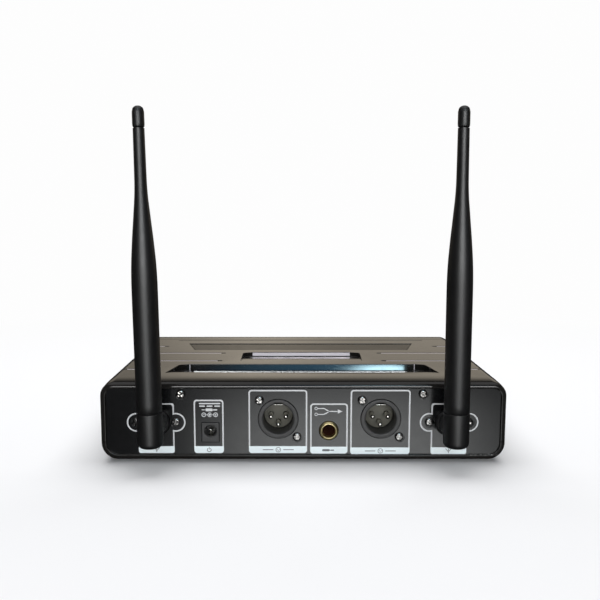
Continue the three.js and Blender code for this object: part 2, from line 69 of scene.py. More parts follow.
# ---- places taken from the frame
MM = 0.001
REAR_RIM_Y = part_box("upper_shell")[0].y
TO_FRAME = Matrix.Translation((0, REAR_RIM_Y, 0)) @ Matrix.Scale(MM, 4)


def cad_box(node):
    """Lowest and highest corner of a CAD node, in millimetres of case space."""
    return tuple((corner - Vector((0, REAR_RIM_Y, 0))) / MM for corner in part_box(node))


def cad_centre(node):
    low, high = cad_box(node)
    return (low + high) / 2


CASE_LOW, CASE_HIGH = cad_box("lower_shell")[0], cad_box("upper_shell")[1]
CASE_HALF = CASE_HIGH.x
CASE_BOTTOM, CASE_TOP = CASE_LOW.z, CASE_HIGH.z
CASE_DEPTH = cad_box("front_bezel")[1].y
SHELL_FRONT = cad_box("upper_shell")[1].y
BEZEL_REAR = cad_box("front_bezel")[0].y
SEAM_LOW, SEAM_HIGH = cad_box("lower_shell")[1], cad_box("upper_shell")[0].z
PANEL_LOW, PANEL_HIGH = cad_box("rear_panel")
PANEL_Y = PANEL_LOW.y
FRONT_LOW, FRONT_HIGH = cad_box("front_panel")
XLR_CENTRE = {s: cad_centre(f"xlr_insert_{s}") for s in SIDES}
PIN_CENTRES = {f"{s}{n}": cad_centre(f"xlr_pin_{s}{n}") for s in SIDES for n in "123"}
JACK_CENTRE = cad_centre("jack_bushing")
POWER_CENTRE = cad_centre("power_jack_pin")
POWER_LOW, POWER_HIGH = cad_box("power_jack_body")
MOUNT_CENTRE = {s: cad_centre(f"antenna_mount_{s}") for s in SIDES}
PIVOT = {}
for joint in frame["joints"]:
    if joint["name"].startswith("antenna"):
        PIVOT[joint["child"][-1]] = (Vector(joint["pos_m"]) - Vector((0, REAR_RIM_Y, 0))) / MM
KNOB_CENTRE = {s: cad_centre(f"volume_knob_{s}") for s in SIDES}
SCREWS = [n for n in sorted(frame["nodes"]) if n.startswith(("panel_", "xlr_", "mount_")) and "screw" in n]

# ---- driving dimensions, millimetres
WALL = 3.0
CORNER_TOP, CORNER_LOW = 7.5, 9.0
RIM_R = 2.2
CROWN = {"drop": 0.6, "start": 12.6, "low": 30.0, "high": CASE_TOP - 3.0}
SOFT_EDGE = 0.3
# each recess slopes down from its tip to an upright wall with a strip on it
SCOOP = {"tip": 21.6, "wall": 44.8, "depth": 3.8, "flat": 66.0, "corner": 71.5, "end": 76.0, "strip": 3.35}
POCKET = {"tip": 54.0, "wall": 80.6, "depth": 2.7, "flat": 31.4, "corner": 36.7, "end": 36.5, "strip": 1.95}
TRAPEZOID = {"rear": 88.5, "front": 111.5, "rear_half": 68.6, "front_half": 75.5, "depth": 0.7}
RULE_LINE = {"y": 123.5, "half": 84.6, "width": 0.8, "depth": 0.6}
GROOVE = {"width": 1.8, "depth": 1.2, "lowest": 30.0}
GROOVES = ((31.5, 88.0), (54.8, 48.0), (78.1, 48.0), (101.4, 88.0))
STRIP_THICKNESS = 0.12
# the pale bar in each groove is a painted highlight in place of the lit groove edge
GROOVE_GLINT_START = 2.6                 # of the pale bar in a groove, from its inner end

XLR_RING_R, XLR_CAVITY_R = 10.5, 8.05
PIN_R = 1.2
JACK_BORE_R, JACK_BUSHING_R = 3.2, 5.0
SCREW_HEAD_R, SCREW_HOLE_R, DIMPLE_R, DIMPLE = 2.35, 1.5, 2.9, 0.6
HUB_R, HUB_BORE_R, EAR_X = 7.2, 4.3, 10.4
BARREL_R, BARREL_BOTTOM, BARREL_TOP = 6.5, -8.4, 9.9
WHIP_TOP, TIP_TOP = 150.0, 160.6
LEAN = {"a": math.radians(-0.2), "b": math.radians(-0.75)}
CONTROL_Z = 22.3

INK_T = 0.06                     # thickness of printed marks
LINE_W = 0.75                    # width of printed outlines
BAR_LOW, BAR_HIGH = 4.7, 8.5     # label bars under the connectors
ANTENNA_FIELD = 9.5              # half width of the printed field behind an antenna
ANTENNA_DROP = {"a": 0.6, "b": 0.0}

random.seed(7)


# ---- outlines, as lists of (u, v)
def arc(cx, cy, r, start, end, steps):
    """Points of an arc, angles in degrees, both ends included."""
    angles = [math.radians(start + (end - start) * i / steps) for i in range(steps + 1)]
    return [(cx + r * math.cos(a), cy + r * math.sin(a)) for a in angles]


def circle(cx, cy, r, steps=48):
    return arc(cx, cy, r, 0, 360 * (1 - 1 / steps), steps - 1)


def rounded_rect(x0, x1, z0, z1, r, steps=10, r_low=None):
    low = r if r_low is None else r_low
    points = []
    for cx, cz, radius, start in ((x1, z0, low, -90), (x1, z1, r, 0), (x0, z1, r, 90), (x0, z0, low, 180)):
        if radius <= 0:
            points.append((cx, cz))
            continue
        sx = -1 if cx == x1 else 1
        sz = 1 if cz == z0 else -1
        points += arc(cx + sx * radius, cz + sz * radius, radius, start, start + 90, steps)
    return points


def rounded_corners(points, radii, steps=6):
    """A closed outline with each corner turned into an arc of its own radius."""
    out = []
    count = len(points)
    for i, here in enumerate(points):
        p = Vector(here)
        before, after = Vector(points[i - 1]) - p, Vector(points[(i + 1) % count]) - p
        r = radii[i] if isinstance(radii, (list, tuple)) else radii
        half = before.angle(after) / 2
        if r <= 0 or half > math.radians(89):
            out.append(tuple(p))
            continue
        reach = min(r / math.tan(half), before.length * 0.49, after.length * 0.49)
        a, b = p + before.normalized() * reach, p + after.normalized() * reach
        for k in range(steps + 1):
            t = k / steps
            point = a * (1 - t) ** 2 + p * 2 * t * (1 - t) + b * t ** 2
            out.append(tuple(point))
    return out


def case_section(inset, steps=14):
    half = CASE_HALF - inset
    low, high = CASE_BOTTOM + inset, CASE_TOP - inset
    return rounded_rect(-half, half, low, high, CORNER_TOP - inset, steps, r_low=CORNER_LOW - inset)


# ---- solids, as bmeshes in millimetres
AXES = {
    "X": lambda u, v, w: (w, u, v),
    "Y": lambda u, v, w: (u, w, v),
    "Z": lambda u, v, w: (u, v, w),
}


def face_out(bm):
    bmesh.ops.remove_doubles(bm, verts=bm.verts, dist=1e-5)
    bmesh.ops.recalc_face_normals(bm, faces=bm.faces)
    return bm


def prism(loops, low, high, axis="Y"):
    """A flat outline, with any further loops as holes, drawn out along an axis."""
    if isinstance(loops[0][0], (int, float)):
        loops = [loops]
    place = AXES[axis]
    bm = bmesh.new()
    edges = []
    for loop in loops:
        ring = [bm.verts.new(place(u, v, low)) for u, v in loop]
        if len(loops) == 1:
            bm.faces.new(ring)
            break
        edges += [bm.edges.new((ring[i - 1], ring[i])) for i in range(len(ring))]
    if edges:
        bmesh.ops.triangle_fill(bm, use_beauty=True, use_dissolve=False, edges=edges)
    grown = bmesh.ops.extrude_face_region(bm, geom=list(bm.faces))
    shift = Vector(place(0, 0, high - low))
    moved = [g for g in grown["geom"] if isinstance(g, bmesh.types.BMVert)]
    bmesh.ops.translate(bm, verts=moved, vec=shift)
    return face_out(bm)


def block(x0, x1, y0, y1, z0, z1):
    return prism([(x0, y0), (x1, y0), (x1, y1), (x0, y1)], z0, z1, "Z")


def rod(axis, r, low, high, u=0.0, v=0.0, steps=48):
    """Round bar along an axis, centred at (u, v) in the other two directions."""
    return prism(circle(u, v, r, steps), low, high, axis)


def lathe(profile, axis="Y", u=0.0, v=0.0, steps=64, ripple=None):
    """Turns [radius, height] pairs about an axis. A profile that starts off the axis closes on itself."""
    place = AXES[axis]
    bm = bmesh.new()
    rings = []
    for r, h in profile:
        if r < 1e-6:
            rings.append([bm.verts.new(place(u, v, h))])
            continue
        ring = []
        for i in range(steps):
            a = 2 * math.pi * i / steps
            radius = r * (ripple(a, r, h) if ripple else 1)
            ring.append(bm.verts.new(place(u + radius * math.cos(a), v + radius * math.sin(a), h)))
        rings.append(ring)
    pairs = list(zip(rings, rings[1:]))
    if profile[0][0] > 1e-6:
        pairs.append((rings[-1], rings[0]))
    for low, high in pairs:
        for i in range(steps):
            j = (i + 1) % steps
            if len(low) == 1 and len(high) == 1:
                break
            if len(low) == 1:
                bm.faces.new((low[0], high[i], high[j]))
            elif len(high) == 1:
                bm.faces.new((low[i], low[j], high[0]))
            else:
                bm.faces.new((low[i], low[j], high[j], high[i]))
    return face_out(bm)


def rounded_profile(points, radius, steps=4):
    """A lathe profile with its inner corners turned into small curves."""
    out = [points[0]]
    for before, here, after in zip(points, points[1:], points[2:]):
        p, a, b = Vector(here), Vector(before), Vector(after)
        reach = min(radius, (a - p).length * 0.45, (b - p).length * 0.45)
        start, end = p + (a - p).normalized() * reach, p + (b - p).normalized() * reach
        for k in range(steps + 1):
            t = k / steps
            out.append(tuple(start * (1 - t) ** 2 + p * 2 * t * (1 - t) + end * t ** 2))
    return out + [points[-1]]


def skin(sections):
    """Joins equally long loops of 3-D points into a ring-shaped closed surface."""
    bm = bmesh.new()
    rings = [[bm.verts.new(p) for p in loop] for loop in sections]
    for a, b in zip(rings, rings[1:] + rings[:1]):
        for i in range(len(a)):
            j = (i + 1) % len(a)
            bm.faces.new((a[i], a[j], b[j], b[i]))
    return face_out(bm)


def as_object(bm, name="work"):
    mesh = bpy.data.meshes.new(name)
    bm.to_mesh(mesh)
    bm.free()
    return bpy.data.objects.new(name, mesh)


def combine(base, tools, operation):
    """Adds the tools to the base or cuts them away (UNION, DIFFERENCE or INTERSECT)."""
    scene = bpy.context.scene.collection
    body = as_object(base)
    scene.objects.link(body)
    group = bpy.data.collections.new("tools")
    scene.children.link(group)
    for tool in tools:
        group.objects.link(as_object(tool))
    modifier = body.modifiers.new("cut", "BOOLEAN")
    modifier.operation = operation
    modifier.operand_type = "COLLECTION"
    modifier.collection = group
    modifier.solver = "EXACT"
    graph = bpy.context.evaluated_depsgraph_get()
    mesh = bpy.data.meshes.new_from_object(body.evaluated_get(graph))
    for obj in [body, *group.objects]:
        bpy.data.objects.remove(obj)
    bpy.data.collections.remove(group)
    result = bmesh.new()
    result.from_mesh(mesh)
    bpy.data.meshes.remove(mesh)
    bmesh.ops.remove_doubles(result, verts=result.verts, dist=1e-4)
    bmesh.ops.triangulate(result, faces=[face for face in result.faces if len(face.verts) > 4])
    return result


# ---- pieces
def make_piece(bm, name, look, body=CASE, stands_for=(), soft=0.0, smooth=32, matrix=None):
    """Puts a bmesh into the scene as a piece that rides on a body. soft is the radius of its edges."""
    if matrix is not None:
        bm.transform(matrix)
    bm.transform(TO_FRAME)
    mesh = bpy.data.meshes.new(name)
    bm.to_mesh(mesh)
    bm.free()
    obj = bpy.data.objects.new(name, mesh)
    bpy.context.scene.collection.objects.link(obj)
    mesh.materials.append(LOOKS[look])
    mesh.shade_smooth()
    if soft:
        bevel = obj.modifiers.new("soft_edges", "BEVEL")
        bevel.width = soft * MM
        bevel.segments = 3
        bevel.limit_method = "ANGLE"
        bevel.angle_limit = math.radians(smooth)
        bevel.use_clamp_overlap = False
        bevel.harden_normals = True
    else:
        mesh.set_sharp_from_angle(angle=math.radians(smooth))
    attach(obj, body)
    if stands_for:
        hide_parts(*stands_for)
    return obj


# ---- materials
def nodes_of(material):
    material.use_nodes = True
    tree = material.node_tree
    return tree, tree.nodes["Principled BSDF"]


def noise(tree, coords, scale, detail=3.0, rough=0.55):
    node = tree.nodes.new("ShaderNodeTexNoise")
    node.inputs["Scale"].default_value = scale
    node.inputs["Detail"].default_value = detail
    node.inputs["Roughness"].default_value = rough
    tree.links.new(coords, node.inputs["Vector"])
    return node.outputs["Fac"]


def ramp(tree, value, low, high, out_low, out_high):
    node = tree.nodes.new("ShaderNodeMapRange")
    node.inputs["From Min"].default_value = low
    node.inputs["From Max"].default_value = high
    node.inputs["To Min"].default_value = out_low
    node.inputs["To Max"].default_value = out_high
    tree.links.new(value, node.inputs["Value"])
    return node.outputs["Result"]


def product(tree, first, second):
    node = tree.nodes.new("ShaderNodeMath")
    node.operation = "MULTIPLY"
    tree.links.new(first, node.inputs[0])
    tree.links.new(second, node.inputs[1])
    return node.outputs[0]


def band(tree, value, rise, fall):
    """1 between the two ramps, each a (start, end) pair of values, and 0 outside them."""
    return product(tree, ramp(tree, value, *rise, 0, 1), ramp(tree, value, *fall, 1, 0))


def mixed(tree, factor, first, second):
    """Colour between two colours, or between an existing colour output and a colour."""
    node = tree.nodes.new("ShaderNodeMix")
    node.data_type = "RGBA"
    tree.links.new(factor, node.inputs["Factor"])
    for socket, colour in (("A", first), ("B", second)):
        target = [s for s in node.inputs if s.name == socket and s.type == "RGBA"][0]
        if isinstance(colour, (tuple, list)):
            target.default_value = (*colour, 1)
        else:
            tree.links.new(colour, target)
    return [s for s in node.outputs if s.type == "RGBA"][0]


def moulded(name, colour, rough, grain=2500.0, bump=0.05, spread=0.15, metallic=0.0, ior=1.5,
            rough_spread=0.06, wear=None):
    """Plastic, rubber, paint or metal with a fine surface grain and slight changes of tone and gloss."""
    material = bpy.data.materials.new(name)
    tree, shader = nodes_of(material)
    coords = tree.nodes.new("ShaderNodeTexCoord").outputs["Object"]
    broad = noise(tree, coords, 60.0, 4.0)
    fine = noise(tree, coords, grain, 2.0)
    darker = tuple(c * (1 - spread) for c in colour)
    lighter = tuple(min(1.0, c * (1 + spread)) for c in colour)
    base = mixed(tree, ramp(tree, broad, 0.3, 0.7, 0, 1), darker, lighter)
    gloss = ramp(tree, noise(tree, coords, 220.0, 3.0), 0.3, 0.7, rough - rough_spread, rough + rough_spread)
    if wear:
        base = worn(tree, coords, base, wear)
    tree.links.new(base, shader.inputs["Base Color"])
    tree.links.new(gloss, shader.inputs["Roughness"])
    shader.inputs["Metallic"].default_value = metallic
    shader.inputs["IOR"].default_value = ior
    relief = tree.nodes.new("ShaderNodeBump")
    relief.inputs["Strength"].default_value = bump
    relief.inputs["Distance"].default_value = 0.0002
    tree.links.new(fine, relief.inputs["Height"])
    tree.links.new(relief.outputs["Normal"], shader.inputs["Normal"])
    return material


def worn(tree, coords, base, wear):
    """Bare chips where a noise passes a threshold inside a box of the frame (low corner, high corner)."""
    low, high, colour = wear
    split = tree.nodes.new("ShaderNodeSeparateXYZ")
    tree.links.new(coords, split.inputs["Vector"])
    chips = ramp(tree, noise(tree, coords, 900.0, 4.0), 0.52, 0.58, 0, 1)
    for axis in range(3):
        for edge, operation in ((low[axis], "GREATER_THAN"), (high[axis], "LESS_THAN")):
            step = tree.nodes.new("ShaderNodeMath")
            step.operation = operation
            tree.links.new(split.outputs[axis], step.inputs[0])
            step.inputs[1].default_value = edge
            chips = product(tree, chips, step.outputs[0])
    return mixed(tree, chips, base, colour)


def case_point(x, y, z):
    return tuple(TO_FRAME @ Vector((x, y, z)))


LOOKS = {}


def make_looks():
    chip_box = (case_point(86, -1, 3.75), case_point(104, 3, 4.4), (0.14, 0.14, 0.135))
    LOOKS.update(
        case=moulded("case_gloss", (0.010, 0.0092, 0.0085), 0.125, grain=900, bump=0.004, rough_spread=0.015,
                     wear=chip_box),
        inlay=moulded("case_inlay", (0.008, 0.0074, 0.0065), 0.2, grain=900, bump=0.004, ior=1.17,
                      rough_spread=0.015),
        panel=moulded("panel_satin", (0.0040, 0.0042, 0.0046), 0.17, grain=2600, bump=0.006, ior=1.75,
                      rough_spread=0.012),
        front=moulded("front_satin", (0.012, 0.012, 0.013), 0.38, grain=2600, bump=0.06),
        ring=moulded("connector_ring", (0.042, 0.042, 0.042), 0.42, grain=3000, bump=0.08),
        insert=moulded("connector_insert", (0.095, 0.092, 0.074), 0.5, grain=3000, bump=0.1),
        black=moulded("moulded_black", (0.011, 0.011, 0.0115), 0.42, grain=2600, bump=0.06),
        rubber=moulded("antenna_sheath", (0.0028, 0.0028, 0.003), 0.44, grain=3200, bump=0.02, ior=1.95,
                       rough_spread=0.02),
        foot=moulded("foot_rubber", (0.012, 0.012, 0.012), 0.75, grain=1500, bump=0.25),
        nickel=moulded("nickel", (0.42, 0.41, 0.40), 0.12, metallic=1.0, bump=0.02, spread=0.1,
                       rough_spread=0.03),
        silver=moulded("contact_silver", (0.85, 0.84, 0.78), 0.18, metallic=1.0, bump=0.02, spread=0.06),
        gilt=moulded("gilt_brass", (0.80, 0.68, 0.36), 0.36, metallic=1.0, bump=0.03, spread=0.08),
        phenolic=moulded("jack_phenolic", (0.10, 0.035, 0.02), 0.4),
        board=moulded("solder_mask", (0.01, 0.09, 0.04), 0.45, grain=900, bump=0.1),
        tin=moulded("tinned_steel", (0.6, 0.61, 0.62), 0.35, metallic=1.0, bump=0.08),
        ink=moulded("white_ink", (0.55, 0.56, 0.57), 0.5, grain=4000, bump=0.02, spread=0.05),
        bar=moulded("label_bar_ink", (0.75, 0.83, 0.85), 0.5, grain=4000, bump=0.02, spread=0.05),
        dark_ink=moulded("dark_ink", (0.12, 0.13, 0.14), 0.5, grain=4000, bump=0.05),
        strip=moulded("mirror_strip", (0.74, 0.76, 0.78), 0.06, metallic=1.0, bump=0.0, spread=0.02,
                      rough_spread=0.01),
        silver_strip=moulded("silver_strip", (0.78, 0.74, 0.80), 0.35, metallic=0.2, bump=0.0, spread=0.02),
        # pale colour of the groove bars: a painted highlight
        trim=moulded("groove_trim", (0.46, 0.42, 0.44), 0.35, bump=0.0, spread=0.03),
        button=moulded("button_grey", (0.05, 0.05, 0.052), 0.4, grain=2600, bump=0.06),
        lcd=moulded("lcd_panel", (0.008, 0.009, 0.010), 0.3, grain=900, bump=0.02),
        screen=moulded("lcd_screen", (0.20, 0.26, 0.22), 0.35, grain=5000, bump=0.02, spread=0.04),
        segment=moulded("lcd_segment", (0.02, 0.03, 0.03), 0.4, grain=3000, bump=0.02),
        lamp=moulded("indicator_lamp", (0.35, 0.02, 0.015), 0.2, grain=3000, bump=0.02),
        glass=window_glass(),
    )


def window_glass():
    material = bpy.data.materials.new("window_glass")
    tree, shader = nodes_of(material)
    coords = tree.nodes.new("ShaderNodeTexCoord").outputs["Object"]
    cloud = ramp(tree, noise(tree, coords, 40.0), 0.3, 0.7, 0, 1)
    tone = mixed(tree, cloud, (0.30, 0.33, 0.35), (0.36, 0.39, 0.41))
    tree.links.new(tone, shader.inputs["Base Color"])
    gloss = ramp(tree, noise(tree, coords, 300.0), 0.3, 0.7, 0.03, 0.07)
    tree.links.new(gloss, shader.inputs["Roughness"])
    shader.inputs["Transmission Weight"].default_value = 0.9
    shader.inputs["IOR"].default_value = 1.45
    return material


# ---- camera, lights and floor
CAMERA_AT = Vector((-0.0062, -0.4232, 0.1296))
CAMERA_PITCH = math.radians(6.84)
CAMERA_SHIFT = 0.0142
LENS = 42.0
ROOM_DARK = (0.012, 0.012, 0.013)
WARM_WALL = (0.80, 0.71, 0.58)
TABLE_LIGHT = (1.98, 2.02, 2.02)
SOFTBOX_LIGHT = (10.5, 10.5, 10.5)
WINDOW_LIGHT = (8.2, 12.4, 13.6)
WINDOW_HALO = (0.12, 0.38, 0.6)
CEILING_LIGHT = (0.65, 0.65, 0.66)
BACKGROUND = (0.985, 0.985, 0.985)
# azimuth and elevation of a glow's centre, then its inner and outer half-angle, in degrees
TABLE_GLOW = (4.8, -19, 2, 14.8)
HALO_GLOW = (6.5, 31, 1.0, 14)
WINDOW_GLOW = (8.7, 30, 0.5, 3.4)
FLOOR_RADIUS = 6.0
FLOOR_FADE = (0.20, 0.55)        # distances over which the floor turns into the background


def make_camera():
    data = bpy.data.cameras.new("camera")
    data.lens = LENS
    data.sensor_width = 36.0
    data.shift_x = CAMERA_SHIFT
    camera = bpy.data.objects.new("camera", data)
    camera.location = CAMERA_AT
    camera.rotation_euler = (math.pi / 2 - CAMERA_PITCH, 0, 0)
    bpy.context.scene.collection.objects.link(camera)
    bpy.context.scene.camera = camera


def glow_around(tree, direction, azimuth, elevation, inner, outer):
    """1 around a direction given in degrees right of -Y and above level, falling to 0 at the outer angle."""
    a, e = math.radians(azimuth), math.radians(elevation)
    dot = tree.nodes.new("ShaderNodeVectorMath")
    dot.operation = "DOT_PRODUCT"
    tree.links.new(direction, dot.inputs[0])
    dot.inputs[1].default_value = (math.sin(a) * math.cos(e), -math.cos(a) * math.cos(e), math.sin(e))
    fall = tree.nodes.new("ShaderNodeMapRange")
    fall.interpolation_type = "SMOOTHSTEP"
    fall.inputs["From Min"].default_value = math.cos(math.radians(outer))
    fall.inputs["From Max"].default_value = math.cos(math.radians(inner))
    tree.links.new(dot.outputs["Value"], fall.inputs["Value"])
    return fall.outputs["Result"]


def make_world():
    """The room glossy parts mirror: a warm wall behind, a lit table, a softbox and a window in front."""
    world = bpy.data.worlds.new("studio")
    bpy.context.scene.world = world
    world.use_nodes = True
    tree = world.node_tree
    tree.nodes.clear()
    direction = tree.nodes.new("ShaderNodeTexCoord").outputs["Generated"]
    split = tree.nodes.new("ShaderNodeSeparateXYZ")
    tree.links.new(direction, split.inputs["Vector"])
    across, along, height = split.outputs["X"], split.outputs["Y"], split.outputs["Z"]
    wall = product(tree, band(tree, height, (0.05, 0.12), (0.25, 0.34)), ramp(tree, along, 0.1, 0.6, 0, 1))
    wall = product(tree, wall, ramp(tree, across, -0.22, -0.06, 0.5, 1))
    wall = product(tree, wall, ramp(tree, across, -0.02, 0.09, 1, 0.74))
    table = product(tree, glow_around(tree, direction, *TABLE_GLOW),
                    ramp(tree, height, -0.262, -0.235, 1, 0))
    softbox = product(tree, band(tree, height, (0.02, 0.12), (0.19, 0.25)),
                      band(tree, across, (-0.38, -0.2), (0.3, 0.48)))
    softbox = product(tree, softbox, ramp(tree, along, -0.75, -0.6, 1, 0))
    room = mixed(tree, wall, ROOM_DARK, WARM_WALL)
    for share, light in ((table, TABLE_LIGHT), (softbox, SOFTBOX_LIGHT),
                         (glow_around(tree, direction, *HALO_GLOW), WINDOW_HALO),
                         (glow_around(tree, direction, *WINDOW_GLOW), WINDOW_LIGHT),
                         (ramp(tree, height, 0.66, 0.82, 0, 1), CEILING_LIGHT)):
        room = mixed(tree, share, room, light)
    seen = tree.nodes.new("ShaderNodeLightPath").outputs["Is Camera Ray"]
    glow = tree.nodes.new("ShaderNodeBackground")
    tree.links.new(mixed(tree, seen, room, BACKGROUND), glow.inputs["Color"])
    out = tree.nodes.new("ShaderNodeOutputWorld")
    tree.links.new(glow.outputs["Background"], out.inputs["Surface"])


def make_floor():
    """A pale floor that fades into the background colour away from the object."""
    bm = bmesh.new()
    bmesh.ops.create_circle(bm, cap_ends=True, segments=96, radius=FLOOR_RADIUS)
    mesh = bpy.data.meshes.new("floor")
    bm.to_mesh(mesh)
    bm.free()
    floor = bpy.data.objects.new("floor", mesh)
    bpy.context.scene.collection.objects.link(floor)
    material = bpy.data.materials.new("floor")
    tree, shader = nodes_of(material)
    shader.inputs["Base Color"].default_value = (0.86, 0.86, 0.87, 1)
    shader.inputs["Roughness"].default_value = 0.8
    shader.inputs["Specular IOR Level"].default_value = 0.1
    coords = tree.nodes.new("ShaderNodeTexCoord").outputs["Object"]
    length = tree.nodes.new("ShaderNodeVectorMath")
    length.operation = "LENGTH"
    tree.links.new(coords, length.inputs[0])
    far = ramp(tree, length.outputs["Value"], *FLOOR_FADE, 0, 1)
    glow = tree.nodes.new("ShaderNodeEmission")
    glow.inputs["Color"].default_value = (*BACKGROUND, 1)
    blend = tree.nodes.new("ShaderNodeMixShader")
    tree.links.new(far, blend.inputs["Fac"])
    tree.links.new(shader.outputs["BSDF"], blend.inputs[1])
    tree.links.new(glow.outputs["Emission"], blend.inputs[2])
    tree.links.new(blend.outputs["Shader"], tree.nodes["Material Output"].inputs["Surface"])
    mesh.materials.append(material)
    floor.visible_glossy = False


def make_lights():
    """A broad light above and behind, and a low one in front. Neither shows in glossy parts."""
    for name, place, target, size, power in (
            ("overhead", (0, 0.33, 1.1), (0, 0, 0), (1.5, 0.85), 13.5),
            ("front_fill", (0, -1.2, 0.36), (0, 0, 0.03), (1.0, 0.3), 4.6)):
        data = bpy.data.lights.new(name, "AREA")
        data.shape = "RECTANGLE"
        data.size, data.size_y = size
        data.energy = power
        light = bpy.data.objects.new(name, data)
        light.location = place
        light.rotation_euler = (Vector(target) - Vector(place)).to_track_quat("-Z", "Y").to_euler()
        light.visible_glossy = False
        bpy.context.scene.collection.objects.link(light)


# ---- case
def crown_drop(y):
    """How far the top surface falls towards the rear rim."""
    return CROWN["drop"] * max(1 - y / CROWN["start"], 0) ** 2


def ring_sections(path):
    """Sections of the case for (y, inset) pairs, each a loop of points."""
    loops = []
    for y, inset in path:
        drop = crown_drop(y)
        loops.append([(u, y, v - drop * min(max(v - CROWN["low"], 0) / (CROWN["high"] - CROWN["low"]), 1))
                      for u, v in case_section(inset)])
    return loops


def sloped_recess(recess):
    tip, wall, depth = recess["tip"], recess["wall"], recess["depth"]
    end, corner, flat = recess["end"], recess["corner"], recess["flat"]
    side = wall - 1.8
    outline = [(-end, tip), (end, tip), (corner, side), (flat, wall), (-flat, wall), (-corner, side)]
    outline = rounded_corners(outline, [0, 0, 2.5, 0, 0, 2.5])
    over = 1.0
    low = CASE_TOP - depth * (wall + over - tip) / (wall - tip)
    wedge = [(tip, CASE_TOP), (wall + over, low), (wall + over, CASE_TOP + 3), (tip, CASE_TOP + 3)]
    column = prism(outline, CASE_TOP - depth - 2, CASE_TOP + 2, "Z")
    return combine(column, [prism(wedge, -CASE_HALF, CASE_HALF, "X")], "INTERSECT")


def groove_cut(y, inner):
    """A band that follows the case's section at the groove's depth, split into its two side parts."""
    y0, y1 = y - GROOVE["width"] / 2, y + GROOVE["width"] / 2
    outer, deep = case_section(-1.0), case_section(GROOVE["depth"])
    cuts = []
    for sign in (-1, 1):
        picks = [i for i, (u, v) in enumerate(deep) if u * sign > inner and v > GROOVE["lowest"]]
        picks.sort(key=lambda i: deep[i][1])
        under = [deep[i] for i in picks]
        over = [outer[i] for i in picks]
        side_in, side_out = CASE_HALF - GROOVE["depth"], CASE_HALF + 1
        loop = [(sign * side_in, GROOVE["lowest"])] + under + [(sign * inner, CASE_TOP - GROOVE["depth"])]
        loop += [(sign * inner, CASE_TOP + 1)] + over[::-1] + [(sign * side_out, GROOVE["lowest"])]
        cuts.append(prism(loop, y0, y1, "Y"))
    return cuts


def shell_tube():
    path = [(SHELL_FRONT, WALL)]
    path += arc(0.35, WALL - 0.35, 0.35, 90, 180, 3)
    path += arc(RIM_R, RIM_R, RIM_R, 180, 270, 7)
    path += [(CROWN["start"] * k / 7, 0.0) for k in range(2, 8)]
    path += [(SHELL_FRONT, 0.0)]
    return skin(ring_sections(path))


def make_upper_shell():
    far = CASE_HALF + 10
    keep = block(-far, far, -5, SHELL_FRONT + 5, SEAM_HIGH, CASE_TOP + 10)
    shell = combine(shell_tube(), [keep], "INTERSECT")
    pads = []
    for recess in (SCOOP, POCKET):
        half, low = recess["end"] + 2.5, CASE_TOP - recess["depth"] - 2.4
        pads.append(block(-half, half, recess["tip"] + 3, recess["wall"] + 2.6, low, CASE_TOP - 1.5))
    shell = combine(shell, pads, "UNION")
    line = RULE_LINE
    cuts = [sloped_recess(SCOOP), sloped_recess(POCKET)]
    t = TRAPEZOID
    plan = [(-t["rear_half"], t["rear"]), (t["rear_half"], t["rear"]),
            (t["front_half"], t["front"]), (-t["front_half"], t["front"])]
    cuts.append(prism(plan, CASE_TOP - t["depth"], CASE_TOP + 2, "Z"))
    near, far = line["y"] - line["width"] / 2, line["y"] + line["width"] / 2
    cuts.append(block(-line["half"], line["half"], near, far, CASE_TOP - line["depth"], CASE_TOP + 2))
    for y, inner in GROOVES:
        cuts += groove_cut(y, inner)
    shell = combine(shell, cuts, "DIFFERENCE")
    make_piece(shell, "upper_shell_moulding", "case", CASE, ["upper_shell"], SOFT_EDGE)


def make_lower_shell():
    far = CASE_HALF + 10
    keep = block(-far, far, -5, SHELL_FRONT + 5, -5, SEAM_LOW.z)
    shell = combine(shell_tube(), [keep], "INTERSECT")
    cuts = []
    for side in SIDES:
        for end in ("rear", "front"):
            foot, screw = cad_centre(f"foot_{end}_{side}"), cad_centre(f"case_screw_{end}_{side}")
            cuts.append(rod("Z", 7.3, -1, 2.3, foot.x, foot.y, 64))
            cuts.append(rod("Z", 3.0, -1, 2.8, screw.x, screw.y))
    for x in (-30, -18, -6, 6, 18, 30):
        cuts.append(prism(rounded_rect(x - 1.2, x + 1.2, 50, 84, 1.15, 6), -1, CASE_BOTTOM + WALL + 2, "Z"))
    shell = combine(shell, cuts, "DIFFERENCE")
    make_piece(shell, "lower_shell_moulding", "case", CASE, ["lower_shell"], SOFT_EDGE)


def make_bezel():
    inner = 4.0
    path = [(BEZEL_REAR, 6.3), (BEZEL_REAR, 0.25), (BEZEL_REAR + 0.25, 0.0)]
    path += arc(CASE_DEPTH - RIM_R, RIM_R, RIM_R, 270, 360, 7)
    path += arc(CASE_DEPTH - 0.4, inner - 0.4, 0.4, 0, 90, 3)
    path += [(FRONT_LOW.y - 0.3, inner), (FRONT_LOW.y - 0.3, 6.3)]
    bezel = skin(ring_sections(path))
    make_piece(bezel, "front_bezel_moulding", "case", CASE, ["front_bezel"], smooth=25)


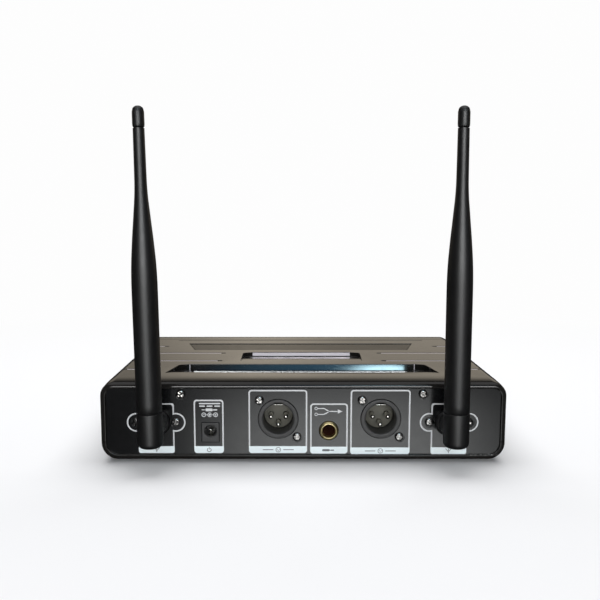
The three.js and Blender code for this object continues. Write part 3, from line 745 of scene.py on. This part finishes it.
def make_strips():
    """Bright strips on the upright walls of the recesses, pale bars in the grooves that paint the highlight
    of the groove edges, and the framed inlay.
    """
    for name, recess, look in (("rear_accent", SCOOP, "strip"), ("front_accent", POCKET, "silver_strip")):
        half, wall, high = recess["flat"] - 0.5, recess["wall"], CASE_TOP - 0.3
        strip = block(-half, half, wall - STRIP_THICKNESS, wall + 0.02, high - recess["strip"], high)
        make_piece(strip, f"{name}_strip", look)
    # pale bars at both ends of the rear strip: painted highlights in place of the lit corners of the recess
    # wall
    half, wall = SCOOP["flat"], SCOOP["wall"]
    for tag, sign in (("left", -1), ("right", 1)):
        x = sorted((sign * (half - 0.45), sign * half))
        low, high = CASE_TOP - SCOOP["depth"] + 0.1, CASE_TOP - 0.2
        make_piece(block(*x, wall - 0.22, wall + 0.02, low, high), f"rear_accent_painted_glint_{tag}", "silver_strip",
                   soft=0.04)
    # pale bars in the grooves: painted highlights where the groove edges catch the light
    for k, (y, inner) in enumerate(GROOVES):
        for tag, sign in (("left", -1), ("right", 1)):
            x = sorted((sign * (inner + GROOVE_GLINT_START), sign * (CASE_HALF - CORNER_TOP)))
            half, low = GROOVE["width"] / 2 - 0.1, CASE_TOP - GROOVE["depth"] + 0.05
            bar = block(*x, y - half, y + half, low, CASE_TOP - 0.12)
            make_piece(bar, f"groove_trim_{k + 1}_{tag}", "trim", soft=0.1)
    t = TRAPEZOID
    gap = 0.5
    plan = [(-t["rear_half"] + gap, t["rear"] + gap), (t["rear_half"] - gap, t["rear"] + gap),
            (t["front_half"] - gap, t["front"] - gap), (-t["front_half"] + gap, t["front"] - gap)]
    inlay = prism(rounded_corners(plan, 0.6, 4), CASE_TOP - t["depth"] - 0.05, CASE_TOP - 0.35, "Z")
    make_piece(inlay, "top_inlay", "inlay", soft=0.1)


def make_feet():
    for side in SIDES:
        for end in ("rear", "front"):
            node = f"foot_{end}_{side}"
            low, high = cad_box(node)
            centre, r = (low + high) / 2, (high.x - low.x) / 2
            profile = [(0, 0.35), (r - 2.6, 0.35), (r - 2.2, 0), (r - 0.9, 0), (r, 0.8), (r, high.z)]
            profile.append((0, high.z))
            foot = lathe(rounded_profile(profile, 0.3), "Z", centre.x, centre.y, 56)
            make_piece(foot, f"rubber_{node}", "foot", CASE, [node])


# ---- screws
def screw_mesh(length):
    """Pan head with a cross recess, drawn with its head's seat at 0 and its head towards -Y."""
    r = SCREW_HEAD_R
    profile = [(0, -1.0), (1.5, -0.92), (2.05, -0.68), (2.28, -0.38), (r, -0.1), (r, 0), (1.2, 0),
               (1.2, length - 0.8), (0, length)]
    head = lathe(rounded_profile(profile, 0.12, 2), "Y", steps=40)
    arm, depth = 1.6, 0.85
    slots = []
    for wide in ((arm, 0.4), (0.4, arm)):
        x, z = wide
        slots.append(block(-x, x, -2, -1.0 + depth, -z, z))
    cone = lathe([(0, -1.2), (0.95, -1.2), (0.3, -0.15), (0, -0.1)], "Y", steps=24)
    return combine(head, slots + [cone], "DIFFERENCE")


def make_rear_screws():
    for node in SCREWS:
        low, high = cad_box(node)
        centre = (low + high) / 2
        seat = low.y + 1.0
        turn = Matrix.Rotation(random.uniform(0, math.pi / 2), 4, "Y")
        place = Matrix.Translation((centre.x, seat, centre.z)) @ turn
        make_piece(screw_mesh(high.y - seat), f"cross_{node}", "nickel", CASE, [node],
                   matrix=place)


def make_case_screws():
    for side in SIDES:
        for end in ("rear", "front"):
            node = f"case_screw_{end}_{side}"
            low, high = cad_box(node)
            centre = (low + high) / 2
            upright = Matrix.Rotation(math.pi / 2, 4, "X")
            turn = Matrix.Rotation(random.uniform(0, math.pi / 2), 4, "Z")
            place = Matrix.Translation((centre.x, centre.y, low.z + 1.0)) @ turn @ upright
            make_piece(screw_mesh(high.z - low.z - 1.0), f"cross_{node}", "nickel", CASE, [node],
                       matrix=place)


# ---- rear panel
def make_rear_panel():
    gap = 0.3
    outline = rounded_rect(PANEL_LOW.x, PANEL_HIGH.x, PANEL_LOW.z, PANEL_HIGH.z, CORNER_TOP - WALL - gap, 12,
                           r_low=CORNER_LOW - WALL - gap)
    plate = prism(outline, PANEL_LOW.y, PANEL_HIGH.y)
    cuts = []
    for centre in XLR_CENTRE.values():
        cuts.append(rod("Y", XLR_RING_R + gap, 0, 5, centre.x, centre.z, 72))
    for centre in MOUNT_CENTRE.values():
        cuts.append(rod("Y", HUB_R + gap, 0, 5, centre.x, centre.z, 64))
    for node in SCREWS:
        centre = cad_centre(node)
        cuts.append(rod("Y", SCREW_HOLE_R, 0, 5, centre.x, centre.z, 32))
        cuts.append(rod("Y", DIMPLE_R, 0, PANEL_Y + DIMPLE, centre.x, centre.z, 40))
    cuts.append(rod("Y", JACK_BUSHING_R + gap, 0, 5, JACK_CENTRE.x, JACK_CENTRE.z, 64))
    x0, x1, z0, z1 = POWER_LOW.x - gap, POWER_HIGH.x + gap, POWER_LOW.z - gap, POWER_HIGH.z + gap
    cuts.append(prism(rounded_rect(x0, x1, z0, z1, 0.5, 4), 0, 5))
    panel = combine(plate, cuts, "DIFFERENCE")
    make_piece(panel, "rear_panel_plate", "panel", CASE, ["rear_panel"])


def ink(name, loops, look="ink", y=None, thickness=INK_T):
    face = PANEL_Y if y is None else y
    make_piece(prism(loops, face - thickness, face + 0.01), name, look)


def label_frame(name, x0, x1, top, drop=0.0, r=1.6):
    """Printed frame with a pale label bar along its lower edge."""
    bar_low, bar_high = BAR_LOW - drop, BAR_HIGH - drop
    line = rounded_rect(x0, x1, bar_low, top, r, 8)
    inner = rounded_rect(x0 + LINE_W, x1 - LINE_W, bar_low + LINE_W, top - LINE_W, r - LINE_W * 0.7, 6)
    ink(f"{name}_frame", [line, inner])
    bar = rounded_rect(x0 + 0.1, x1 - 0.1, bar_low + 0.1, bar_high, 0, 8, r_low=r - 0.1)
    ink(f"{name}_bar", bar, "bar", PANEL_Y - INK_T / 3)


def antenna_outline(pivot_x, pivot_z, inset, bottom, low_r):
    """Outline of the antenna's printed field: a plain column with an ear around each mount screw."""
    half, top, ear_r, corner = ANTENNA_FIELD - inset, 31.8 - inset, 5.1 - inset, 1.2
    ear_x = EAR_X
    rise = math.sqrt(max(ear_r ** 2 - (ear_x - half) ** 2, 0.01))
    start = math.degrees(math.atan2(rise, half - ear_x))
    right = [(half, bottom)] if low_r <= 0 else arc(half - low_r, bottom + low_r, low_r, -90, 0, 5)
    right += [(ear_x + x, pivot_z + z) for x, z in arc(0, 0, ear_r, -start, start, 24)]
    right += arc(half - corner, top - corner, corner, 0, 90, 6)
    points = right + [(-x, z) for x, z in reversed(right)]
    return [(pivot_x + x, z) for x, z in points]


def stroke(points, width):
    """Outline of a line of even width along open points."""
    left, right = [], []
    count = len(points)
    for i, here in enumerate(points):
        before = points[max(i - 1, 0)]
        after = points[min(i + 1, count - 1)]
        along = (Vector(after) - Vector(before)).normalized()
        across = Vector((-along.y, along.x)) * width / 2
        left.append(tuple(Vector(here) + across))
        right.append(tuple(Vector(here) - across))
    return left + right[::-1]


def make_print():
    label_frame("print_power", -57.7, -42.0, 33.7)
    label_frame("print_xlr_b", -28.8, 2.1, 39.0)
    label_frame("print_mix", 3.7, 23.5, 31.7, 0.3)
    label_frame("print_xlr_a", 24.9, 56.4, 39.0, 0.7)
    for side in SIDES:
        centre = MOUNT_CENTRE[side]
        low, high = BAR_LOW - ANTENNA_DROP[side], BAR_HIGH - ANTENNA_DROP[side]
        outer = antenna_outline(centre.x, centre.z, 0.0, low, 1.2)
        inner = antenna_outline(centre.x, centre.z, LINE_W, low + LINE_W, 0.8)
        ink(f"print_antenna_{side}_frame", [outer, inner])
        half = ANTENNA_FIELD - 0.1
        bar = rounded_rect(centre.x - half, centre.x + half, low + 0.1, high, 0, 5, r_low=1.1)
        ink(f"print_antenna_{side}_bar", bar, "bar", PANEL_Y - INK_T / 3)
    make_symbols()


def dash(name, x0, x1, z0, z1, look="ink", face=None):
    """Small printed bar with softened ends."""
    ink(name, rounded_rect(x0, x1, z0, z1, min(x1 - x0, z1 - z0) * 0.35, 3), look, face)


def ring_mark(name, cx, cz, r, width, look="ink", face=None, gap=None):
    """Printed ring, with an opening around the given angle when gap is set."""
    if gap is None:
        ink(name, [circle(cx, cz, r, 32), circle(cx, cz, r - width, 32)], look, face)
        return
    start, end = gap + 35, gap + 325
    ink(name, arc(cx, cz, r, start, end, 28) + arc(cx, cz, r - width, end, start, 28), look, face)


def dashes(group, look, face, cx, cz, rows):
    """Several dashes of one pictogram, as (name, x0, x1, z0, z1) rows around its centre."""
    for name, x0, x1, z0, z1 in rows:
        dash(f"{group}_{name}", cx + x0, cx + x1, cz + z0, cz + z1, look, face)


def make_symbols():
    """Plain pictograms in place of wording."""
    x = POWER_CENTRE.x - 0.3
    dashes("print", "ink", None, x, 0, (
        # direct current: a full line above a dashed one
        ("dc_line", -5.6, 5.6, 31.3, 32.0),
        ("dc_dash_1", -5.5, -2.5, 29.9, 30.6), ("dc_dash_2", -1.5, 1.5, 29.9, 30.6),
        ("dc_dash_3", 2.5, 5.5, 29.9, 30.6),
        # barrel plug
        ("plug_grip", -2.2, 1.6, 27.5, 29.0), ("plug_tip", 1.8, 4.0, 27.9, 28.6),
        ("plug_lead", -4.2, -2.4, 28.05, 28.45)))
    # polarity: minus, centre contact, plus
    z = 25.6
    dashes("print_polarity", "ink", None, x, z, (
        ("minus_bar", -3.6, -2.6, -0.14, 0.14), ("plus_bar", 2.6, 3.6, -0.14, 0.14),
        ("plus_post", 2.96, 3.24, 0.16, 0.5), ("plus_foot", 2.96, 3.24, -0.5, -0.16),
        ("wire_left", -1.88, -1.22, -0.13, 0.13), ("wire_right", 0.57, 1.88, -0.13, 0.13)))
    ring_mark("print_polarity_minus_ring", x - 3.1, z, 1.2, 0.36)
    ring_mark("print_polarity_plus_ring", x + 3.1, z, 1.2, 0.36)
    ring_mark("print_polarity_cup", x, z, 1.2, 0.36, gap=0)
    ink("print_polarity_dot", circle(x, z, 0.55, 24))
    # mixing: two inputs that meet in one output
    x, z = JACK_CENTRE.x, 27.4
    for k, sign in enumerate((1, -1)):
        ring_mark(f"print_mix_input_{k + 1}", x - 6.7, z + sign * 1.6, 0.85, 0.32)
        path = [(x - 5.8, z + sign * 1.6), (x - 2.6, z + sign * 1.6), (x - 0.2, z + sign * 0.26)]
        ink(f"print_mix_branch_{k + 1}", stroke(path, 0.5))
    dash("print_mix_arrow_shaft", x + 0.1, x + 4.6, z - 0.25, z + 0.25)
    ink("print_mix_arrow_head", [(x + 4.7, z - 1.1), (x + 7.2, z), (x + 4.7, z + 1.1)])
    make_bar_symbols()


def make_bar_symbols():
    """Dark pictograms on the pale label bars."""
    look, middle, face = "dark_ink", (BAR_LOW + BAR_HIGH) / 2, PANEL_Y - INK_T
    x = POWER_CENTRE.x - 0.8
    ring_mark("mark_power_ring", x, middle - 0.1, 1.2, 0.36, look, face, gap=90)
    dashes("mark", look, face, x, middle, (("power_bar", -0.18, 0.18, 0.1, 1.35),))
    for side in SIDES:
        cx, level = XLR_CENTRE[side].x, middle - (0.7 if side == "a" else 0)
        ring_mark(f"mark_xlr_{side}_ring", cx, level, 1.4, 0.3, look, face)
        for k, (dx, dz) in enumerate(((-0.55, 0.2), (0.55, 0.2), (0, -0.5))):
            ink(f"mark_xlr_{side}_dot_{k + 1}", circle(cx + dx, level + dz, 0.24, 16), look, face)
        dashes(f"mark_xlr_{side}", look, face, cx, level,
               (("line_1", -8.2, -2.6, -0.2, 0.2), ("line_2", 2.6, 8.2, -0.2, 0.2)))
        ax, level = MOUNT_CENTRE[side].x, middle - ANTENNA_DROP[side]
        dashes(f"mark_antenna_{side}", look, face, ax, level, (("mast", -0.16, 0.16, -1.3, 1.2),))
        for k, sign in enumerate((-1, 1)):
            path = [(ax + sign * 1.5, level + 1.2), (ax + sign * 0.22, level - 0.3)]
            ink(f"mark_antenna_{side}_arm_{k + 1}", stroke(path, 0.32), look, face)
    dashes("mark_jack", look, face, JACK_CENTRE.x, middle - 0.3,
           (("sleeve", -3.4, 0.6, -0.6, 0.6), ("tip", 0.9, 2.9, -0.32, 0.32)))


# ---- connectors
def make_xlr(side):
    centre = XLR_CENTRE[side]
    low, high = cad_box(f"xlr_shell_{side}")
    rim = XLR_CAVITY_R - 0.02
    ring = rounded_profile([(0, 5), (XLR_RING_R, 5), (XLR_RING_R, low.y), (XLR_CAVITY_R + 0.5, low.y),
                            (rim, low.y + 0.6), (rim, 4.0), (0, 4.0)], 0.45, 5)
    body = block(low.x, high.x, PANEL_HIGH.y + 0.3, high.y, low.z, high.z)
    shell = combine(lathe(ring, "Y", centre.x, centre.z, 96), [body], "UNION")
    notch = rounded_rect(centre.x - 2.6, centre.x + 2.6, centre.z + 6.8, centre.z + 8.95, 0.5, 4)
    cuts = [rod("Y", XLR_CAVITY_R, 3.0, 13.5, centre.x, centre.z, 96), prism(notch, -1, 7)]
    shell = combine(shell, cuts, "DIFFERENCE")
    make_piece(shell, f"xlr_{side}_shell", "ring", CASE, [f"xlr_shell_{side}"])
    insert_low, insert_high = cad_box(f"xlr_insert_{side}")
    r = XLR_CAVITY_R - 0.3
    face = insert_low.y
    disc = lathe(rounded_profile([(0, face), (r, face), (r, insert_high.y), (0, insert_high.y)], 0.4, 4),
                 "Y", centre.x, centre.z, 72)
    holes = []
    for number in "123":
        pin = PIN_CENTRES[f"{side}{number}"]
        holes.append(rod("Y", PIN_R + 0.28, face - 1, face + 0.9, pin.x, pin.z, 32))
    disc = combine(disc, holes, "DIFFERENCE")
    make_piece(disc, f"xlr_{side}_contact_carrier", "insert", CASE, [f"xlr_insert_{side}"],
               0.1)
    latch = block(centre.x - 2.3, centre.x + 2.3, 1.3, 6.5, centre.z + 7.35, centre.z + 7.65)
    make_piece(latch, f"xlr_{side}_latch_spring", "silver", soft=0.08)
    for number in "123":
        node = f"xlr_pin_{side}{number}"
        pin_low, pin_high = cad_box(node)
        pin = PIN_CENTRES[f"{side}{number}"]
        y, r = pin_low.y, PIN_R - 0.02
        profile = [(0, y), (0.55, y + 0.08), (0.95, y + 0.4), (r, y + 1.0), (r, pin_high.y), (0, pin_high.y)]
        make_piece(lathe(rounded_profile(profile, 0.3, 3), "Y", pin.x, pin.z, 32), f"contact_{node}",
                   "silver", CASE, [node])


def make_jack():
    cx, cz = JACK_CENTRE.x, JACK_CENTRE.z
    low, high = cad_box("jack_bushing")
    bore, outer, y = JACK_BORE_R + 0.02, JACK_BUSHING_R, low.y
    profile = [(bore, high.y), (bore, y + 0.9), (bore + 0.45, y), (outer - 0.9, y), (outer, y + 0.75),
               (outer, high.y), (bore, high.y)]
    closed = rounded_profile(profile, 0.3, 4)[:-1]
    make_piece(lathe(closed, "Y", cx, cz, 72), "jack_gilt_bushing", "gilt", CASE, ["jack_bushing"])
    low, high = cad_box("jack_body")
    body = combine(block(low.x, high.x, low.y, high.y, low.z, high.z), [rod("Y", bore, 0, 24, cx, cz, 48)],
                   "DIFFERENCE")
    make_piece(body, "jack_housing", "phenolic", CASE, ["jack_body"], 0.2)
    spring = [(6.5, cz + 2.9), (9.0, cz + 1.9), (11.0, cz + 2.0), (13.0, cz + 2.9)]
    leaf = prism(stroke(spring, 0.25), cx - 0.8, cx + 0.8, "X")
    make_piece(leaf, "jack_contact_spring", "silver")


def make_power_jack():
    low, high = POWER_LOW, POWER_HIGH
    hole_r = 3.1
    cx, cz = POWER_CENTRE.x, POWER_CENTRE.z
    body = block(low.x, high.x, low.y, high.y, low.z, high.z)
    hole = [(0, low.y - 1), (hole_r + 0.6, low.y - 0.2), (hole_r, low.y + 0.5), (hole_r, 10), (0, 10)]
    body = combine(body, [lathe(hole, "Y", cx, cz, 56)], "DIFFERENCE")
    make_piece(body, "power_jack_housing", "ring", CASE, ["power_jack_body"], 0.22)
    pin_low, pin_high = cad_box("power_jack_pin")
    y, end = pin_low.y, pin_high.y
    profile = [(0, y), (0.45, y + 0.05), (0.8, y + 0.4), (0.93, y + 0.9), (0.93, end), (0, end)]
    make_piece(lathe(rounded_profile(profile, 0.25, 3), "Y", cx, cz, 32), "power_jack_contact", "silver",
               CASE, ["power_jack_pin"])
    spring = stroke([(2.0, cz - 2.95), (4.5, cz - 2.35), (8.5, cz - 2.6)], 0.2)
    make_piece(prism(spring, cx - 1.2, cx + 1.2, "X"), "power_jack_spring", "silver")


# ---- antennas
def swivel_matrix(side):
    return Matrix.Translation(PIVOT[side]) @ Matrix.Rotation(LEAN[side], 4, "Y")


# height and radius of the whip's taper
WHIP_SHAPE = ((BARREL_TOP + 0.3, 6.38), (40, 6.38), (70, 6.38), (79, 6.27), (86, 5.98), (92.3, 5.53),
              (98.5, 5.02), (104.5, 4.45), (110.5, 3.9), (116, 3.4), (121.5, 3.08), (128, 2.95),
              (WHIP_TOP, 2.8))


def whip_profile():
    """Smooth S-shaped taper through the listed (height, radius) points."""
    out = []
    points = [Vector((r, h)) for h, r in WHIP_SHAPE]
    for i in range(len(points) - 1):
        p0, p1 = points[max(i - 1, 0)], points[i]
        p2, p3 = points[i + 1], points[min(i + 2, len(points) - 1)]
        for k in range(5):
            t = k / 5
            a = 2 * p1 + (p2 - p0) * t
            b = (2 * p0 - 5 * p1 + 4 * p2 - p3) * t ** 2 + (3 * p1 - p0 - 3 * p2 + p3) * t ** 3
            out.append(tuple((a + b) / 2))
    return out + [tuple(points[-1])]


def make_antenna(side):
    body = f"antenna_{side}"
    matrix = swivel_matrix(side)
    r, low, high = BARREL_R, BARREL_BOTTOM, BARREL_TOP
    outline = [(0, low), (3.9, low + 0.18), (5.6, low + 0.8), (r - 0.02, low + 2.3), (r, 0),
               (r, high - 0.14), (r - 0.12, high), (0, high)]
    barrel = lathe(rounded_profile(outline, 0.9, 5), "Z", steps=72)
    hub_face = -1.8 - PIVOT[side].y
    outline = [(0, 0), (5.3, 0), (6.0, 7), (6.0, hub_face), (4.0, hub_face), (4.0, 23.6), (0, 23.6)]
    neck = lathe(rounded_profile(outline, 0.3, 3), "Y", steps=64)
    knuckle = combine(barrel, [neck], "UNION")
    make_piece(knuckle, f"antenna_{side}_swivel_knuckle", "rubber", body, [f"antenna_knuckle_{side}"],
               matrix=matrix)
    profile = whip_profile()
    base = profile[0][1]
    profile = [(0, base - 7.5), (2.95, base - 7.5), (2.95, base), (profile[0][0] - 0.12, base),
               (profile[0][0], base + 0.12)] + profile[1:]
    profile += [(2.45, WHIP_TOP), (1.3, WHIP_TOP), (1.3, WHIP_TOP + 4), (0, WHIP_TOP + 4)]
    make_piece(lathe(profile, "Z", steps=72), f"antenna_{side}_whip_sheath", "rubber", body,
               [f"antenna_whip_{side}"], smooth=50, matrix=matrix)
    base = WHIP_TOP + 0.3
    dome = [(1.6, base), (2.45, base), (2.85, base + 0.5), (2.95, base + 1.8), (2.93, TIP_TOP - 2.9),
            (2.45, TIP_TOP - 1.1), (1.25, TIP_TOP - 0.2), (0, TIP_TOP)]
    socket = [(0, base + 4.2), (1.6, base + 4.2), (1.6, base)]
    tip = lathe(socket + rounded_profile(dome, 0.35, 3)[1:], "Z", steps=56)
    make_piece(tip, f"antenna_{side}_end_cap", "rubber", body, [f"antenna_tip_{side}"],
               smooth=50, matrix=matrix)


def make_mount(side):
    centre = MOUNT_CENTRE[side]
    low, high = cad_box(f"antenna_mount_{side}")
    cx, cz = centre.x, centre.z
    bore, outer, y = HUB_BORE_R, HUB_R - 0.02, low.y
    tube = [(bore, y + 0.4), (bore + 0.4, y), (HUB_R - 0.7, y), (outer, y + 0.7), (outer, 4.0),
            (HUB_R - 1, 4.0), (HUB_R - 1, high.y), (bore, high.y)]
    hub = lathe(tube, "Y", cx, cz, 64)
    ear_r = 4.2
    ears = arc(cx + EAR_X, cz, ear_r, -90, 90, 14) + arc(cx - EAR_X, cz, ear_r, 90, 270, 14)
    plate = prism(ears, 3.3, 5.3)
    bores = [rod("Y", SCREW_HOLE_R, 2, 7, cx + sign * EAR_X, cz, 32) for sign in (-1, 1)]
    bores.append(rod("Y", HUB_BORE_R + 1, 2, 7, cx, cz, 48))
    plate = combine(plate, bores, "DIFFERENCE")
    mount = combine(hub, [plate], "UNION")
    make_piece(mount, f"antenna_{side}_panel_mount", "black", CASE, [f"antenna_mount_{side}"])


# ---- controls on the front
def make_front_panel():
    face, back = FRONT_HIGH.y, FRONT_LOW.y
    plate = prism(rounded_rect(FRONT_LOW.x, FRONT_HIGH.x, FRONT_LOW.z, FRONT_HIGH.z, CORNER_TOP - 4.3, 10,
                               r_low=CORNER_LOW - 4.3), back, face)
    (x0, _, z0), (x1, _, z1) = cad_box("display_lens")
    gap = 0.3
    cuts = [prism(rounded_rect(x0 - gap, x1 + gap, z0 - gap, z1 + gap, 1.2, 6), back - 1, face + 1)]
    for side in SIDES:
        cuts.append(rod("Y", 4.8, back - 1, face + 1, KNOB_CENTRE[side].x, CONTROL_Z, 48))
        button = cad_centre(f"set_button_{side}")
        cuts.append(rod("Y", 3.5, back - 1, face + 1, button.x, CONTROL_Z, 40))
    cuts.append(rod("Y", 4.7, back - 1, face + 1, cad_centre("power_button").x, CONTROL_Z, 48))
    panel = combine(plate, cuts, "DIFFERENCE")
    make_piece(panel, "front_panel_plate", "front", CASE, ["front_panel"], 0.2)
    for side in SIDES:
        make_scale(KNOB_CENTRE[side].x, side, face)


def make_scale(cx, side, face):
    """Tick marks around a volume knob, longer at the ends of its travel, and a signal lamp."""
    for k in range(11):
        a = math.radians(-140 + 28 * k)
        reach = 12.6 if k in (0, 5, 10) else 12.0
        along = Vector((math.sin(a), math.cos(a)))
        start, end = along * 10.6, along * reach
        mark = stroke([(cx + start.x, CONTROL_Z + start.y), (cx + end.x, CONTROL_Z + end.y)], 0.4)
        make_piece(prism(mark, face - 0.01, face + INK_T), f"tick_{side}_{k + 1}", "ink")
    lamp_x = cad_centre(f"set_button_{side}").x
    dome = rounded_profile([(0, face - 0.2), (1.2, face - 0.2), (1.2, face + 0.3), (0, face + 0.75)], 0.3)
    lamp = lathe(dome, "Y", lamp_x, CONTROL_Z + 9.5, 32)
    make_piece(lamp, f"signal_lamp_{side}", "lamp")
    line = rounded_rect(lamp_x - 3.0, lamp_x + 3.0, CONTROL_Z - 7.2, CONTROL_Z - 6.8, 0.15, 2)
    make_piece(prism(line, face - 0.01, face + INK_T), f"set_mark_{side}", "ink")


def make_display():
    low, high = cad_box("display_lens")
    lens = prism(rounded_rect(low.x, high.x, low.z, high.z, 1.0, 6), low.y, high.y)
    make_piece(lens, "display_window", "glass", CASE, ["display_lens"], 0.25)
    low, high = cad_box("display_module")
    module = prism(rounded_rect(low.x, high.x, low.z, high.z, 1.0, 4), low.y, high.y - 0.35)
    make_piece(module, "display_module_body", "lcd", CASE, ["display_module"], 0.2)
    face = high.y - 0.35
    for side, sign in (("a", 1), ("b", -1)):
        cx = sign * 22
        screen = rounded_rect(cx - 18, cx + 18, CONTROL_Z - 6, CONTROL_Z + 6, 0.8, 4)
        make_piece(prism(screen, face - 0.05, face + 0.12), f"display_screen_{side}", "screen")
        for k in range(8):
            x = cx + 14.5 - k * 2.1
            height = 1.4 + k * 0.75
            bar = rounded_rect(x - 0.7, x + 0.7, CONTROL_Z - 4.2, CONTROL_Z - 4.2 + height, 0.15, 2)
            make_piece(prism(bar, face + 0.1, face + 0.2), f"level_bar_{side}_{k + 1}", "segment")
        for k in range(4):
            x = cx - 15 + k * 4.2
            cell = rounded_rect(x - 1.5, x + 1.5, CONTROL_Z - 3.6, CONTROL_Z - 1.4, 0.3, 3)
            make_piece(prism(cell, face + 0.1, face + 0.2), f"status_cell_{side}_{k + 1}", "segment")


def make_knob(side):
    node = f"volume_knob_{side}"
    cx, front = KNOB_CENTRE[side].x, cad_box(node)[1].y
    ribs = 40

    def grip(angle, radius, y):
        grooved = radius > 7.5 and 140.2 < y < front - 1.6
        return 1 - (0.022 * (0.5 + 0.5 * math.cos(ribs * angle)) if grooved else 0)

    outline = [(0, 126), (3, 126), (3, 141), (5.2, 141), (5.2, 138.2), (8.98, 138.2), (8.95, 139.8),
               (8.75, 140.4), (8.62, 146), (8.5, front - 1.8), (8.3, front - 1.3), (7.5, front - 0.15),
               (6.4, front), (5.9, front - 0.35), (0, front - 0.5)]
    knob = lathe(rounded_profile(outline, 0.25, 2), "Y", cx, CONTROL_Z, ribs * 6, ripple=grip)
    make_piece(knob, f"grip_{node}", "black", f"volume_{side}", [node], smooth=40)
    pointer = prism(rounded_rect(cx - 0.45, cx + 0.45, CONTROL_Z + 3.2, CONTROL_Z + 7.6, 0.2, 3),
                    front - 0.6, front - 0.1)
    make_piece(pointer, f"pointer_{node}", "ink", f"volume_{side}")


def make_button(node, body, r, mark=False):
    low, high = cad_box(node)
    centre = (low + high) / 2
    collar, front = (high.x - low.x) / 2, high.y
    dish = 0.35
    outline = [(0, low.y), (collar, low.y), (collar, 134.7), (r - 0.02, 134.7), (r - 0.02, front - 0.25),
               (r - 0.5, front), (r * 0.6, front - 0.12), (0, front - dish)]
    cap = lathe(rounded_profile(outline, 0.2, 3), "Y", centre.x, centre.z, 48)
    make_piece(cap, f"cap_{node}", "button", body, [node])
    if mark:
        cx, cz = centre.x, centre.z
        ring = arc(cx, cz, 1.7, 125, 415, 28) + arc(cx, cz, 1.35, 415, 125, 28)
        make_piece(prism(ring, front - 0.4, front - 0.18), f"mark_{node}_ring", "ink", body)
        bar = rounded_rect(cx - 0.2, cx + 0.2, cz + 0.3, cz + 2.1, 0.1, 2)
        make_piece(prism(bar, front - 0.4, front - 0.12), f"mark_{node}_bar", "ink", body)


# ---- CAD nodes that stay as they are
def finish_inner_nodes():
    looks = {"main_board": "board", "control_board": "board"}
    for side in SIDES:
        looks[f"radio_shield_{side}"] = "tin"
        looks[f"antenna_lead_{side}"] = "black"
        looks[f"volume_control_{side}"] = "tin"
    for node, look in looks.items():
        obj = frame["nodes"][node]
        obj.data.materials.clear()
        obj.data.materials.append(LOOKS[look])


# ---- build
bpy.context.scene.view_settings.view_transform = "Standard"
make_camera()
make_world()
make_lights()
make_floor()
make_looks()
make_upper_shell()
make_lower_shell()
make_bezel()
make_strips()
make_feet()
make_rear_panel()
make_print()
make_rear_screws()
make_case_screws()
for name_side in SIDES:
    make_xlr(name_side)
    make_mount(name_side)
    make_antenna(name_side)
    make_knob(name_side)
    make_button(f"set_button_{name_side}", f"set_{name_side}", 3.2)
make_button("power_button", "power", 4.4, mark=True)
make_jack()
make_power_jack()
make_front_panel()
make_display()
finish_inner_nodes()
